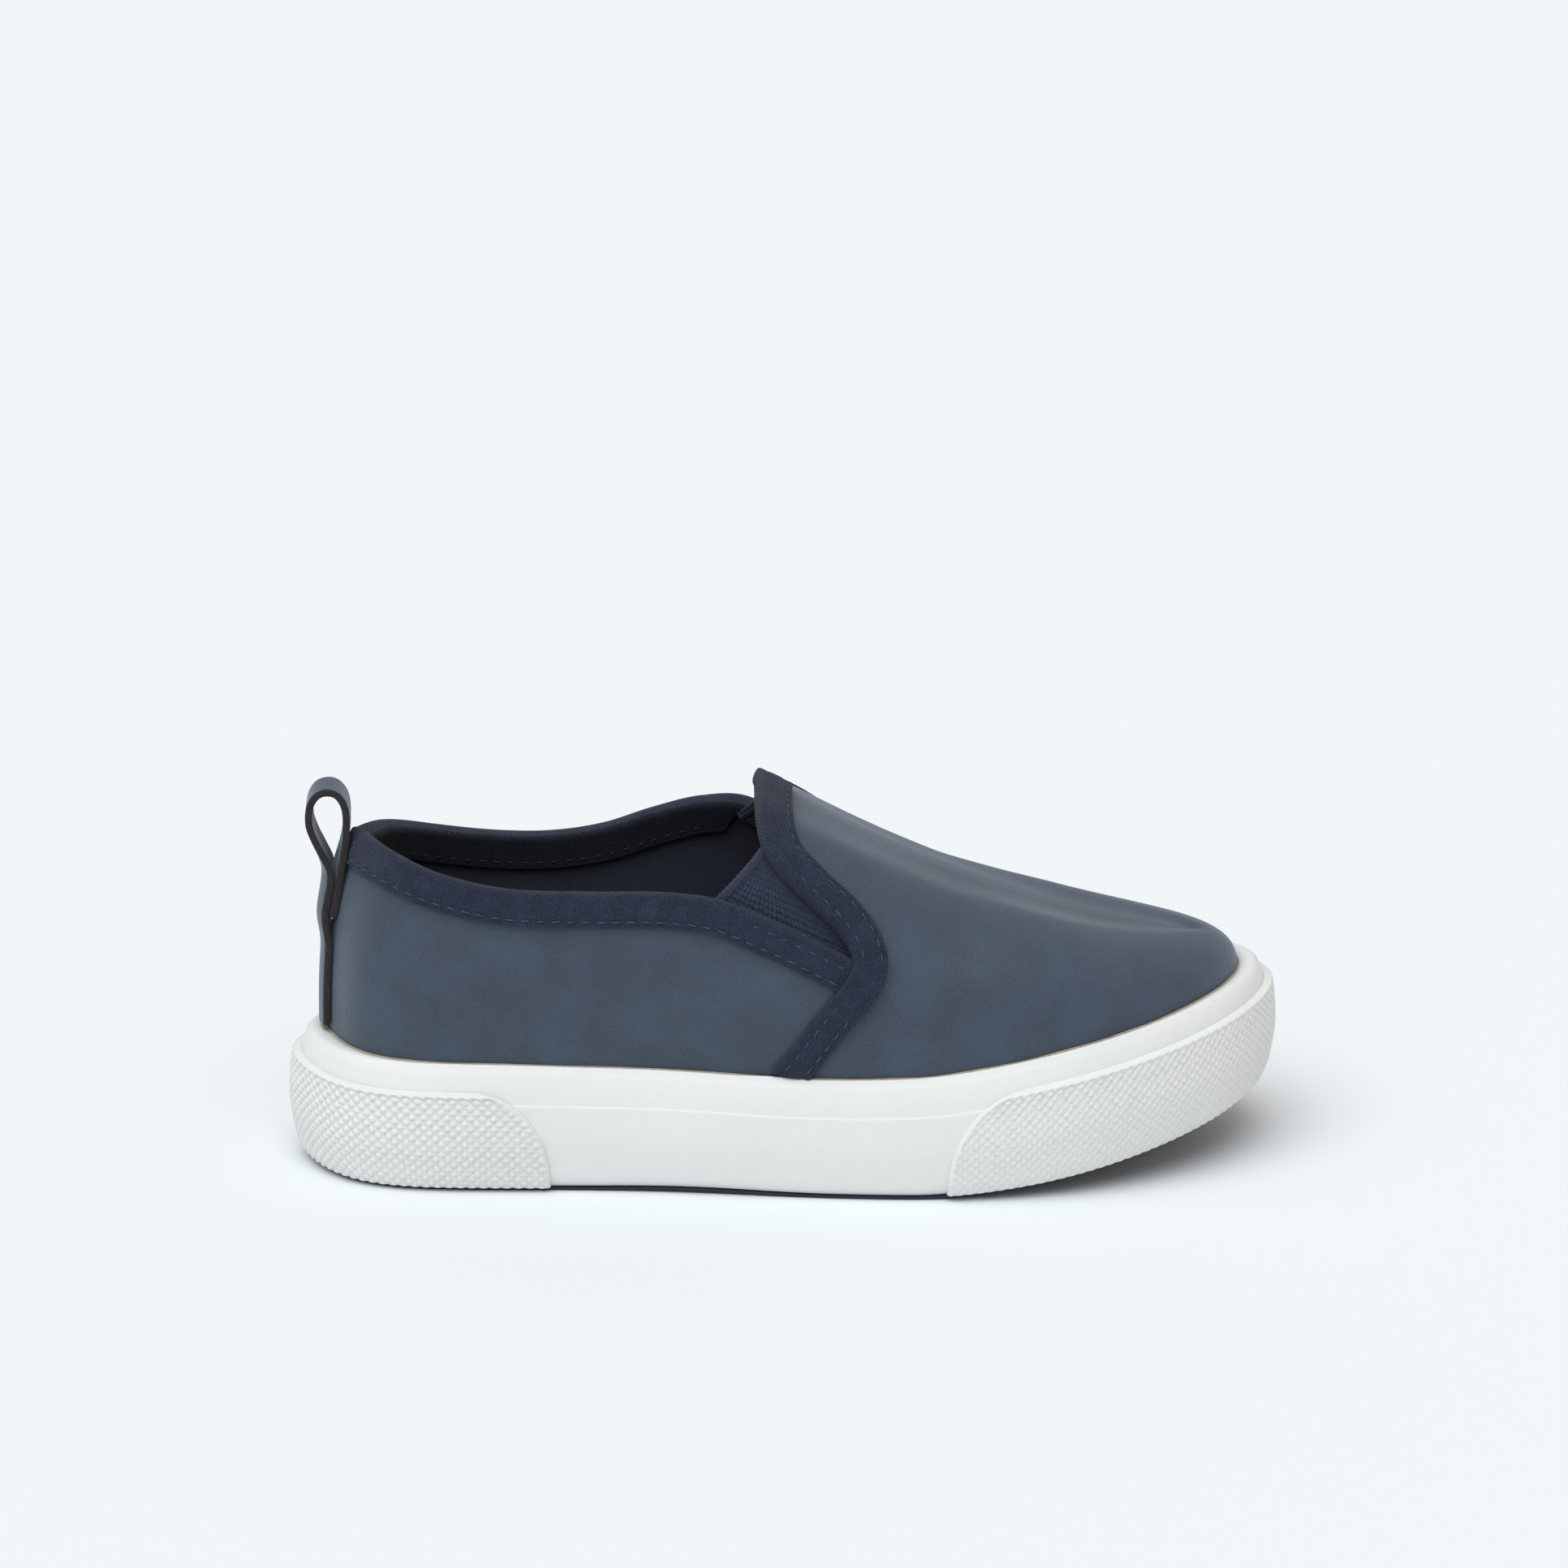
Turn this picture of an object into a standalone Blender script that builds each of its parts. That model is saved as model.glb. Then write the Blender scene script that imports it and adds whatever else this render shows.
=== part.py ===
"""A child's slip-on sneaker, the right shoe, empty and standing on its sole.

Metres, +Z up, +X to the toe and +Y to the inner (medial) side of the foot. The origin is on the
floor, under the middle of the sole.

The forms come from two functions. outline() is the sole's plan, a smooth closed curve through a short
table of stations. last() is the outside of the upper: at each station a rounded wall rises from the
feather line, where the upper meets the foxing, to the crest of the last. Every piece lies a stated
distance outside or inside one of them. A place is a station number: it runs from 0 at the heel along
the lateral side to the toe, and on along the medial side back to the heel.
"""

import math
from collections import namedtuple

import bmesh
import bpy
import numpy as np

# Driving dimensions of the sole
SOLE_LENGTH = 0.1795
HEEL_WIDTH = 0.0500
BALL_WIDTH = 0.0660
FOXING_HEIGHT = 0.0222
FOXING_WALL = 0.0034
FOXING_TUCK = 0.0024
FOXING_STRIP_STEP = 0.0004
TOE_SPRING = 0.0122
HEEL_LIFT = 0.0012
ARCH_RISE = 0.0004
OUTSOLE_THICKNESS = 0.0080
OUTSOLE_LIP = 0.0006
OUTSOLE_LIP_INSET = 0.0022
INSOLE_THICKNESS = 0.0040
BUMPER_THICKNESS = 0.0010
HEEL_BUMPER_DROP = 0.0044
TOE_BUMPER_DROP = 0.0042
HEEL_BUMPER_REACH = 0.0462
TOE_BUMPER_REACH = 0.0622
BUMPER_CORNER = 0.0140

# Driving dimensions of the upper
COLLAR_HEIGHT = 0.0612
COLLAR_SPLAY = 0.0100
INSTEP_HEIGHT = 0.0705
CREST_SIDE = 0.0020
UPPER_WALL = 0.0018
BINDING_WIDTH = 0.0053
BINDING_THICKNESS = 0.0009
GORE_THICKNESS = 0.0012
GORE_OVERLAP = 0.0040
TAPE_WIDTH = 0.0090
TAPE_THICKNESS = 0.0013
HEEL_RADIUS = 0.0135
LOOP_HEIGHT = 0.0156
LOOP_DEPTH = 0.0072
LOOP_FOOT = 0.0540
TAPE_TAIL = 0.0080

# Places: the stations over which the vamp's rear edge fans out, and those searched for a point of it
VAMP_FAN = 1.6
SEARCHED_PLACES = (2.0, 11.0)

# Clearance between pieces that touch on the real shoe
GAP = 0.0003

# Stations from the heel to the toe. along is a share of SOLE_LENGTH, lateral and medial are shares of
# half the width, wall is a share of FOXING_WALL and rise a share of FOXING_HEIGHT.
Station = namedtuple("Station", "along width lateral medial wall rise")
STATIONS = (
    Station(0.000, HEEL_WIDTH, 0.00, 0.00, 1.68, 1.08),
    Station(0.012, HEEL_WIDTH, 0.36, 0.36, 1.75, 1.08),
    Station(0.050, HEEL_WIDTH, 0.72, 0.70, 1.45, 1.08),
    Station(0.120, HEEL_WIDTH, 0.94, 0.90, 1.12, 1.07),
    Station(0.220, HEEL_WIDTH, 1.01, 0.95, 1.00, 1.06),
    Station(0.340, BALL_WIDTH, 0.82, 0.72, 1.00, 1.03),
    Station(0.460, BALL_WIDTH, 0.92, 0.76, 1.00, 1.00),
    Station(0.580, BALL_WIDTH, 1.01, 0.86, 1.00, 1.01),
    Station(0.680, BALL_WIDTH, 1.03, 0.95, 1.00, 1.05),
    Station(0.780, BALL_WIDTH, 0.97, 0.97, 1.05, 1.08),
    Station(0.870, BALL_WIDTH, 0.79, 0.89, 1.20, 1.07),
    Station(0.940, BALL_WIDTH, 0.53, 0.73, 1.40, 1.05),
    Station(0.985, BALL_WIDTH, 0.20, 0.45, 1.60, 1.02),
    Station(1.000, BALL_WIDTH, -0.12, 0.12, 1.70, 1.02),
)

# The crest that the wall of the upper rises to from each station. along is a share of SOLE_LENGTH and
# height of INSTEP_HEIGHT. full is the roundness of the wall, where 2 is an ellipse, and splay is a
# share of COLLAR_SPLAY, by which the wall leans out. _l is the lateral side and _m the medial side.
Crest = namedtuple("Crest", "along height full_l full_m splay_l splay_m")
CRESTS = (
    Crest(0.200, 1.070, 2.5, 2.5, 0.00, 0.00),
    Crest(0.205, 1.070, 2.5, 2.5, 0.00, 0.00),
    Crest(0.215, 1.080, 2.5, 2.5, 0.00, 0.00),
    Crest(0.235, 1.090, 2.5, 2.5, 0.05, 0.07),
    Crest(0.280, 1.110, 2.4, 2.4, 0.25, 0.30),
    Crest(0.355, 1.110, 2.3, 2.3, 0.60, 0.75),
    Crest(0.430, 1.055, 2.2, 2.2, 0.70, 0.90),
    Crest(0.530, 0.917, 2.2, 2.1, 0.30, 0.40),
    Crest(0.625, 0.792, 2.2, 2.0, 0.10, 0.10),
    Crest(0.710, 0.706, 2.3, 2.0, 0.05, 0.00),
    Crest(0.785, 0.639, 2.3, 2.1, 0.00, 0.00),
    Crest(0.845, 0.600, 2.3, 2.1, 0.00, 0.00),
    Crest(0.885, 0.579, 2.3, 2.2, 0.00, 0.00),
    Crest(0.905, 0.568, 2.2, 2.2, 0.00, 0.00),
)

# The height, as a share of INSTEP_HEIGHT, that the crest's slope leads to over the tip of the toe.
RIDGE_AT_TOE = 0.500

# The top edge of each quarter, seen from the side: along the collar from the heel, over the corner
# where the gore starts, and down to the bottom of the gore's notch. along is a share of SOLE_LENGTH
# and height of COLLAR_HEIGHT.
Edge = namedtuple("Edge", "along height")
QUARTER_EDGE = {
    "lateral": (
        Edge(-0.10, 1.000), Edge(0.030, 1.000), Edge(0.090, 0.987), Edge(0.145, 0.936),
        Edge(0.212, 0.896), Edge(0.300, 0.892), Edge(0.384, 0.896), Edge(0.422, 0.884),
        Edge(0.484, 0.815), Edge(0.567, 0.694), Edge(0.640, 0.590),
    ),
    "medial": (
        Edge(-0.10, 1.000), Edge(0.030, 1.000), Edge(0.090, 0.963), Edge(0.145, 0.919),
        Edge(0.212, 0.886), Edge(0.265, 0.879), Edge(0.320, 0.898), Edge(0.370, 0.942),
        Edge(0.420, 0.976), Edge(0.465, 0.975), Edge(0.510, 0.895), Edge(0.577, 0.750),
        Edge(0.640, 0.620),
    ),
}

# The rear edge of the vamp, seen from the side, from the foxing up to the throat on the instep. Here
# height is a share of INSTEP_HEIGHT.
VAMP_EDGE = {
    "lateral": (
        Edge(0.462, 0.250), Edge(0.504, 0.393), Edge(0.535, 0.500), Edge(0.555, 0.560),
        Edge(0.566, 0.614), Edge(0.563, 0.655), Edge(0.549, 0.710), Edge(0.512, 0.800),
        Edge(0.487, 0.870), Edge(0.477, 0.940), Edge(0.478, 0.980), Edge(0.489, 1.020),
        Edge(0.489, 1.200),
    ),
    "medial": (
        Edge(0.470, 0.250), Edge(0.512, 0.393), Edge(0.545, 0.500), Edge(0.572, 0.610),
        Edge(0.574, 0.680), Edge(0.560, 0.740), Edge(0.530, 0.815), Edge(0.505, 0.880),
        Edge(0.485, 0.945), Edge(0.480, 0.980), Edge(0.489, 1.020), Edge(0.489, 1.200),
    ),
}
GORE_CORNER = {"lateral": 0.422, "medial": 0.465}
GORE_HEAD = {"lateral": 0.910, "medial": 0.915}
WAY_ROUND = {"lateral": 1, "medial": -1}

# The side of the foxing, from its foot to its top: height is a share of its height, and tuck is a
# share of FOXING_TUCK, by which it lies inside the outline.
Face = namedtuple("Face", "height tuck")
FOXING_FACE = (
    Face(0.00, 0.80), Face(0.07, 0.50), Face(0.20, 0.22), Face(0.40, 0.00), Face(0.60, 0.08),
    Face(0.82, 0.38), Face(1.00, 1.00),
)
STRIP_TOP = 0.69

# The centre line of the pull loop, from where it leaves the heel, round and back down to the heel.
# back is a share of LOOP_DEPTH and up a share of LOOP_HEIGHT.
Bend = namedtuple("Bend", "back up")
LOOP_BENDS = (
    Bend(0.31, 0.14), Bend(0.41, 0.27), Bend(0.53, 0.41), Bend(0.60, 0.55), Bend(0.62, 0.70),
    Bend(0.57, 0.84), Bend(0.43, 0.95), Bend(0.16, 1.00), Bend(-0.12, 0.97), Bend(-0.29, 0.86),
    Bend(-0.35, 0.72), Bend(-0.34, 0.55), Bend(-0.27, 0.38), Bend(-0.15, 0.20),
)

LAST_STATION = len(STATIONS) - 1
ROUND_TRIP = 2 * LAST_STATION

Finish = namedtuple("Finish", "red green blue roughness")
FINISHES = {
    "white_rubber": Finish(0.78, 0.80, 0.79, 0.55),
    "navy_rubber": Finish(0.012, 0.016, 0.035, 0.60),
    "blue_leather": Finish(0.066, 0.087, 0.115, 0.50),
    "navy_canvas": Finish(0.028, 0.036, 0.062, 0.90),
    "navy_elastic": Finish(0.022, 0.028, 0.050, 0.90),
    "insole_cloth": Finish(0.020, 0.024, 0.038, 0.95),
}


# Curves

def closed_curve(rows):
    """A smooth closed curve through the rows, as a function of the place."""
    rows = np.asarray(rows, float)
    count = len(rows)
    ring = np.eye(count)
    system = 4 * ring + np.roll(ring, 1, 0) + np.roll(ring, -1, 0)
    slopes = np.linalg.solve(system, 3 * (np.roll(rows, -1, 0) - np.roll(rows, 1, 0)))

    def at(place):
        place = np.asarray(place, float)
        before = np.floor(place).astype(int)
        t = (place - before)[..., None]
        before = before % count
        after = (before + 1) % count
        return hermite(t, rows[before], slopes[before], rows[after], slopes[after])

    return at


def hermite(t, start, start_slope, end, end_slope):
    return (
        (2 * t**3 - 3 * t**2 + 1) * start
        + (t**3 - 2 * t**2 + t) * start_slope
        + (3 * t**2 - 2 * t**3) * end
        + (t**3 - t**2) * end_slope
    )


def open_curve(inputs, values):
    """A smooth curve through the values, as a function of the input."""
    inputs = np.asarray(inputs, float)
    values = np.asarray(values, float)
    slopes = np.gradient(values, inputs)

    def at(x):
        x = np.clip(x, inputs[0], inputs[-1])
        i = np.clip(np.searchsorted(inputs, x) - 1, 0, len(inputs) - 2)
        step = inputs[i + 1] - inputs[i]
        return hermite((x - inputs[i]) / step, values[i], slopes[i] * step, values[i + 1], slopes[i + 1] * step)

    return at


def ease(share):
    """A smooth step from 0 to 1."""
    share = np.clip(share, 0, 1)
    return share * share * (3 - 2 * share)


def both_sides(lateral, medial):
    """Rows for the whole trip round the shoe: the heel and the toe are in it once."""
    return lateral + medial[-2:0:-1]


def sole_rows(side, sign):
    return [
        (s.along * SOLE_LENGTH, sign * getattr(s, side) * s.width / 2, s.wall * FOXING_WALL, s.rise * FOXING_HEIGHT)
        for s in STATIONS
    ]


def crest_rows(side):
    return [
        (c.along * SOLE_LENGTH, c.height * INSTEP_HEIGHT, getattr(c, "full_" + side),
         getattr(c, "splay_" + side) * COLLAR_SPLAY)
        for c in CRESTS
    ]


sole_curve = closed_curve(both_sides(sole_rows("lateral", -1), sole_rows("medial", 1)))
crest_curve = closed_curve(both_sides(crest_rows("l"), crest_rows("m")))
ridge = open_curve(
    [c.along * SOLE_LENGTH for c in CRESTS] + [SOLE_LENGTH],
    [c.height * INSTEP_HEIGHT for c in CRESTS] + [RIDGE_AT_TOE * INSTEP_HEIGHT])
quarter_height = {
    side: open_curve([e.along * SOLE_LENGTH for e in rows], [e.height * COLLAR_HEIGHT for e in rows])
    for side, rows in QUARTER_EDGE.items()
}
vamp_along = {
    side: open_curve([e.height * INSTEP_HEIGHT for e in rows], [e.along * SOLE_LENGTH for e in rows])
    for side, rows in VAMP_EDGE.items()
}
foxing_tuck = open_curve([f.height for f in FOXING_FACE], [f.tuck * FOXING_TUCK for f in FOXING_FACE])


# The sole's plan and the last

def lift(along):
    """How far the sole's underside is off the floor: toe spring, heel lift and arch."""
    share = along / SOLE_LENGTH
    toe = np.clip((share - 0.62) / 0.38, 0, None)
    heel = np.clip((0.09 - share) / 0.09, 0, None)
    arch = np.clip((share - 0.26) / 0.28, 0, 1)
    return TOE_SPRING * toe**1.6 + HEEL_LIFT * heel**2 + ARCH_RISE * np.sin(math.pi * arch) ** 2


def outline(place, out=0.0):
    """Plan points of the foxing's widest line, moved out by a distance, and the outward direction."""
    place = np.asarray(place, float)
    step = 0.001
    point = sole_curve(place)[..., :2]
    ahead = sole_curve(place + step)[..., :2] - sole_curve(place - step)[..., :2]
    outward = np.stack([ahead[..., 1], -ahead[..., 0]], -1)
    outward /= np.linalg.norm(outward, axis=-1, keepdims=True)
    return point + np.asarray(out)[..., None] * outward, outward


def sole_point(place, out, height):
    """A point of the sole: out from the outline and up from the underside."""
    plan, _ = outline(place, out)
    return np.concatenate([plan, (height + lift(plan[..., 0]))[..., None]], -1)


def feather_inset(place):
    return sole_curve(place)[..., 2]


def foxing_height(place):
    return sole_curve(place)[..., 3]


def last(place, turn):
    """The outside of the upper. turn is 0 at the feather line and 1 at the crest."""
    place, turn = np.broadcast_arrays(np.asarray(place, float), np.asarray(turn, float))
    foot, outward = outline(place, -(feather_inset(place) + GAP))
    crest_along, crest_height, full, splay = np.moveaxis(crest_curve(place), -1, 0)
    angle = np.clip(turn, 0, 1) * math.pi / 2
    inward = 1 - np.clip(np.cos(angle), 0, 1) ** (2 / full)
    up = np.sin(angle) ** (2 / full)
    lean = splay * up * (1 - inward)
    bottom = foxing_height(place) + lift(foot[..., 0])
    along = foot[..., 0] + (crest_along - foot[..., 0]) * inward + outward[..., 0] * lean
    near_crest = ease((turn - 0.70) / 0.25)
    crest_height = crest_height + near_crest * (ridge(along) - ridge(crest_along))
    return np.stack([
        along,
        foot[..., 1] + (CREST_SIDE - foot[..., 1]) * inward + outward[..., 1] * lean,
        bottom + (crest_height - bottom) * up,
    ], -1)


def last_frame(place, turn):
    """The last's point, its two slopes and its outward direction.

    The slopes are taken a little below the crest, because the lines run together at its toe end.
    """
    step = 0.002
    near = np.clip(turn, step, 0.99)
    ahead = last(place + step, near) - last(place - step, near)
    up = last(place, near + step) - last(place, near - step)
    outward = np.cross(ahead, up)
    outward /= np.linalg.norm(outward, axis=-1, keepdims=True)
    return last(place, turn), ahead / (2 * step), up / (2 * step), outward


def off_last(place, turn, out):
    point, _, _, outward = last_frame(place, turn)
    return point + out * outward


def walk(place, turn, direction, distance):
    """Walk a distance over the last from each place and turn, along a direction in space."""
    steps = 4
    for _ in range(steps):
        _, ahead, up, _ = last_frame(place, turn)
        aa, au, uu = (np.sum(p * q, -1) for p, q in ((ahead, ahead), (ahead, up), (up, up)))
        da, du = np.sum(direction * ahead, -1), np.sum(direction * up, -1)
        scale = distance / steps / (aa * uu - au**2)
        place = place + scale * (da * uu - du * au)
        turn = np.clip(turn + scale * (du * aa - da * au), 0, 1)
    return place, turn


def bisect(low, high, is_low):
    """The value, between low and high, at which is_low stops being true."""
    for _ in range(30):
        middle = (low + high) / 2
        below = is_low(middle)
        low = np.where(below, middle, low)
        high = np.where(below, high, middle)
    return (low + high) / 2


def quarter_edge(place):
    """The turn at which the quarter's top edge crosses each place."""
    def below(turn):
        point = last(place, turn)
        along = point[..., 0]
        edge = np.where(place >= 0, quarter_height["lateral"](along), quarter_height["medial"](along))
        return point[..., 2] < edge
    return bisect(np.zeros_like(place), np.ones_like(place), below)


def vamp_edge(side, turn):
    """The place at which the vamp's rear edge crosses each turn. Both sides meet on the crest."""
    def crossing(which, turns):
        def behind(way):
            point = last(WAY_ROUND[which] * way, turns)
            return point[..., 0] < vamp_along[which](point[..., 2])
        return bisect(np.full_like(turns, 3.0), np.full_like(turns, 10.0), behind)
    way = np.where(turn < 1, crossing(side, turn), crossing("lateral", turn))
    return WAY_ROUND[side] * way


def notch_foot(side):
    """The point (along, height) where the quarter's edge and the vamp's edge meet."""
    def before(along):
        return along < vamp_along[side](quarter_height[side](along))
    along = bisect(0.45 * SOLE_LENGTH, 0.62 * SOLE_LENGTH, before)
    return np.array([float(along), float(quarter_height[side](along))])


def place_on_last(side, along, height):
    """The place and turn of a point given by its side view."""
    sign = WAY_ROUND[side]

    def turn_at(way):
        place = sign * way
        foot, _ = outline(place, -(feather_inset(place) + GAP))
        bottom = foxing_height(place) + lift(foot[..., 0])
        _, crest_height, full, _ = np.moveaxis(crest_curve(place), -1, 0)
        up = np.clip((height - bottom) / (crest_height - bottom), 0, 1)
        return np.arcsin(up ** (full / 2)) * 2 / math.pi

    def behind(way):
        return last(sign * way, turn_at(way))[..., 0] < along
    rear, front = (np.full_like(along, place) for place in SEARCHED_PLACES)
    way = bisect(rear, front, behind)
    return sign * way, turn_at(way)


# Meshes

def collect(points, faces):
    mesh = bmesh.new()
    corners = [mesh.verts.new(p) for p in points]
    for face in faces:
        mesh.faces.new([corners[i] for i in face])
    return mesh


def grid_faces(rows, columns, wrap_rows=False, wrap_columns=False):
    """Quads of a grid whose points are numbered row by row."""
    faces = []
    for i in range(rows if wrap_rows else rows - 1):
        for j in range(columns if wrap_columns else columns - 1):
            i2 = (i + 1) % rows
            j2 = (j + 1) % columns
            faces.append((i * columns + j, i2 * columns + j, i2 * columns + j2, i * columns + j2))
    return faces


def finish_object(name, mesh, finish, smooth_angle=40):
    """An object of the shoe from a mesh, shaded smooth up to an angle between its faces."""
    bmesh.ops.recalc_face_normals(mesh, faces=mesh.faces[:])
    data = bpy.data.meshes.new(name)
    mesh.to_mesh(data)
    mesh.free()
    data.shade_smooth()
    data.set_sharp_from_angle(angle=math.radians(smooth_angle))
    data.materials.append(material(finish))
    piece = bpy.data.objects.new(name, data)
    bpy.context.scene.collection.objects.link(piece)
    piece.parent = bpy.data.objects["shoe"]
    return piece


def material(name):
    if name in bpy.data.materials:
        return bpy.data.materials[name]
    finish = FINISHES[name]
    made = bpy.data.materials.new(name)
    made.use_nodes = True
    shader = made.node_tree.nodes["Principled BSDF"]
    shader.inputs["Base Color"].default_value = (finish.red, finish.green, finish.blue, 1)
    shader.inputs["Roughness"].default_value = finish.roughness
    shader.inputs["Metallic"].default_value = 0
    return made


def sweep(name, sections, finish, closed=False):
    """A solid through sections of equal point count: a ring when closed, else with two end caps."""
    sections = np.asarray(sections)
    rows, columns = sections.shape[:2]
    faces = grid_faces(rows, columns, wrap_rows=closed, wrap_columns=True)
    if not closed:
        faces.append(tuple(range(columns)))
        faces.append(tuple((rows - 1) * columns + j for j in range(columns)))
    return finish_object(name, collect(sections.reshape(-1, 3), faces), finish)


def slab(name, inner, outer, finish):
    """A solid between two grids of points of the same size."""
    rows, columns = inner.shape[:2]
    count = rows * columns
    faces = grid_faces(rows, columns)
    faces += [tuple(count + i for i in face) for face in faces]
    rim = [j for j in range(columns)]
    rim += [i * columns + columns - 1 for i in range(1, rows)]
    rim += [(rows - 1) * columns + j for j in range(columns - 2, -1, -1)]
    rim += [i * columns for i in range(rows - 2, 0, -1)]
    for a, b in zip(rim, rim[1:] + rim[:1]):
        faces.append((a, b, b + count, a + count))
    points = np.concatenate([inner.reshape(-1, 3), outer.reshape(-1, 3)])
    return finish_object(name, collect(points, faces), finish)


def plate(name, loops, finish):
    """A solid of stacked loops round the shoe, closed below and above by strips across it."""
    loops = np.asarray(loops)
    rows, columns = loops.shape[:2]
    faces = grid_faces(rows, columns, wrap_columns=True)
    half = columns // 2
    for base in (0, (rows - 1) * columns):
        for k in range(half):
            strip = [base + k, base + k + 1, base + (columns - k - 1) % columns, base + (columns - k) % columns]
            faces.append(tuple(dict.fromkeys(strip)))
    return finish_object(name, collect(loops.reshape(-1, 3), faces), finish)


# Places round the shoe, closer together round the heel and the toe
SIDE_PLACES = np.concatenate([
    np.linspace(0, 3, 8, endpoint=False),
    np.linspace(3, 9, 14, endpoint=False),
    np.linspace(9, LAST_STATION, 11),
])
LOOP_PLACES = np.concatenate([SIDE_PLACES, ROUND_TRIP - SIDE_PLACES[-2:0:-1]])


# Pieces of the sole

def build_outsole():
    lip_out = np.full_like(LOOP_PLACES, -OUTSOLE_LIP_INSET)
    body_out = -(feather_inset(LOOP_PLACES) + GAP)
    heights = ((lip_out, 0.0), (lip_out, OUTSOLE_LIP), (body_out, OUTSOLE_LIP), (body_out, OUTSOLE_THICKNESS))
    return plate("outsole", [sole_point(LOOP_PLACES, out, height) for out, height in heights], "navy_rubber")


def foxing_base():
    return OUTSOLE_LIP + GAP


def foxing_side(place, share, out=0.0):
    """A point of the foxing's side at a share of its height, moved out from it."""
    base = foxing_base()
    height = base + share * (foxing_height(place) - base)
    return sole_point(place, out - foxing_tuck(share), height)


def build_foxing():
    """A ring with an upright inner wall, and a small step in its side where the outer strip ends."""
    step_width = 0.015
    shares = sorted([f.height for f in FOXING_FACE] + [STRIP_TOP, STRIP_TOP + step_width])
    rows = [foxing_side(LOOP_PLACES, share, -FOXING_STRIP_STEP * (share > STRIP_TOP)) for share in shares]
    inner = -feather_inset(LOOP_PLACES)
    rows.append(sole_point(LOOP_PLACES, inner, foxing_height(LOOP_PLACES)))
    rows.append(sole_point(LOOP_PLACES, inner, foxing_base()))
    return sweep("foxing", np.swapaxes(rows, 0, 1), "white_rubber", closed=True)


def place_at_reach(reach, sign, toe):
    """The place on one side that lies a distance along the sole from the heel or the toe."""
    along = SOLE_LENGTH - reach if toe else reach

    def behind(way):
        return sole_curve(sign * way)[..., 0] < along
    way = bisect(np.full_like(reach, 0.5), np.full_like(reach, LAST_STATION - 0.5), behind)
    return sign * way


def build_bumper(name, reach, drop, toe, columns):
    """A raised patch wrapped round the foxing, lower than its top and round at its two top corners."""
    rows = 6
    top = 1 - drop / FOXING_HEIGHT
    inner = []
    outer = []
    for share in np.linspace(0, top, rows):
        short = BUMPER_CORNER * (1 - math.sqrt(1 - (share / top) ** 2.4))
        end = np.array(reach - short)
        ends = [float(place_at_reach(end, sign, toe)) for sign in (1, -1)]
        if toe:
            ends[1] += ROUND_TRIP
        places = np.linspace(ends[0], ends[1], columns)
        inner.append(foxing_side(places, share, GAP))
        outer.append(foxing_side(places, share, GAP + BUMPER_THICKNESS))
    return slab(name, np.array(inner), np.array(outer), "white_rubber")


def build_insole():
    out = -(feather_inset(LOOP_PLACES) + UPPER_WALL + 2 * GAP)
    bottom = OUTSOLE_THICKNESS + GAP
    heights = (bottom, bottom + INSOLE_THICKNESS)
    return plate("insole", [sole_point(LOOP_PLACES, out, height) for height in heights], "insole_cloth")


# Pieces of the upper

def upper_lines(side):
    """Lines up one side of the upper, from the feather line to the edge of the opening or the crest.

    Each line is the place it starts from and the place and turn it ends at. The lines of the quarter
    end on the collar. Those of the vamp fan out, first along its rear edge and then along the crest.
    """
    sign = WAY_ROUND[side]
    place, turn = place_on_last(side, *notch_foot(side))
    foot = abs(float(place))
    quarter = np.append(SIDE_PLACES[SIDE_PLACES < foot - 0.1], foot)
    edge_turn = np.concatenate([np.linspace(float(turn), 0.72, 9)[1:-1], np.linspace(0.72, 1, 10)])
    edge = np.abs(vamp_edge(side, edge_turn))
    crest = np.linspace(edge[-1], LAST_STATION, 15)[1:]
    fan = foot + VAMP_FAN
    start = np.concatenate([
        quarter, np.linspace(foot, fan, len(edge) + 1)[1:], np.linspace(fan, LAST_STATION, len(crest) + 1)[1:],
    ])
    end = np.concatenate([quarter, edge, crest])
    top = np.concatenate([quarter_edge(sign * quarter), edge_turn, np.ones_like(crest)])
    return sign * start, sign * end, top, len(quarter) + len(edge)


def build_upper():
    """Both faces of the wall, side by side, joined at the heel, the toe and the crest of the vamp."""
    points = []
    faces = []
    for side in ("lateral", "medial"):
        start, end, top, open_lines = upper_lines(side)
        base = sum(len(p) for p in points)
        for depth in (0.0, UPPER_WALL):
            columns = [sole_point(start, -(feather_inset(start) + GAP + depth), OUTSOLE_THICKNESS + GAP)]
            for share in (0.0, 0.04, 0.11, 0.20, 0.30, 0.40, 0.50, 0.60, 0.70, 0.80, 0.90, 1.0):
                columns.append(off_last(start + (end - start) * share**3, top * share, -depth))
            on_crest = slice(open_lines - 1, None)
            columns[-1][on_crest] = (columns[-1][on_crest] + off_last(-end, top, -depth)[on_crest]) / 2
            points.append(np.swapaxes(columns, 0, 1).reshape(-1, 3))
        lines, count = len(start), len(columns)
        inner = base + lines * count
        for face in grid_faces(lines, count):
            faces.append(tuple(base + i for i in face))
            faces.append(tuple(inner + i for i in face))
        for column, rim_lines in ((0, lines), (count - 1, open_lines)):
            for i in range(rim_lines - 1):
                a, b = i * count + column, (i + 1) * count + column
                faces.append((base + a, base + b, inner + b, inner + a))
    mesh = collect(np.concatenate(points), faces)
    weld = 5e-5
    bmesh.ops.remove_doubles(mesh, verts=mesh.verts[:], dist=weld)
    return finish_object("upper", mesh, "blue_leather")


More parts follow.
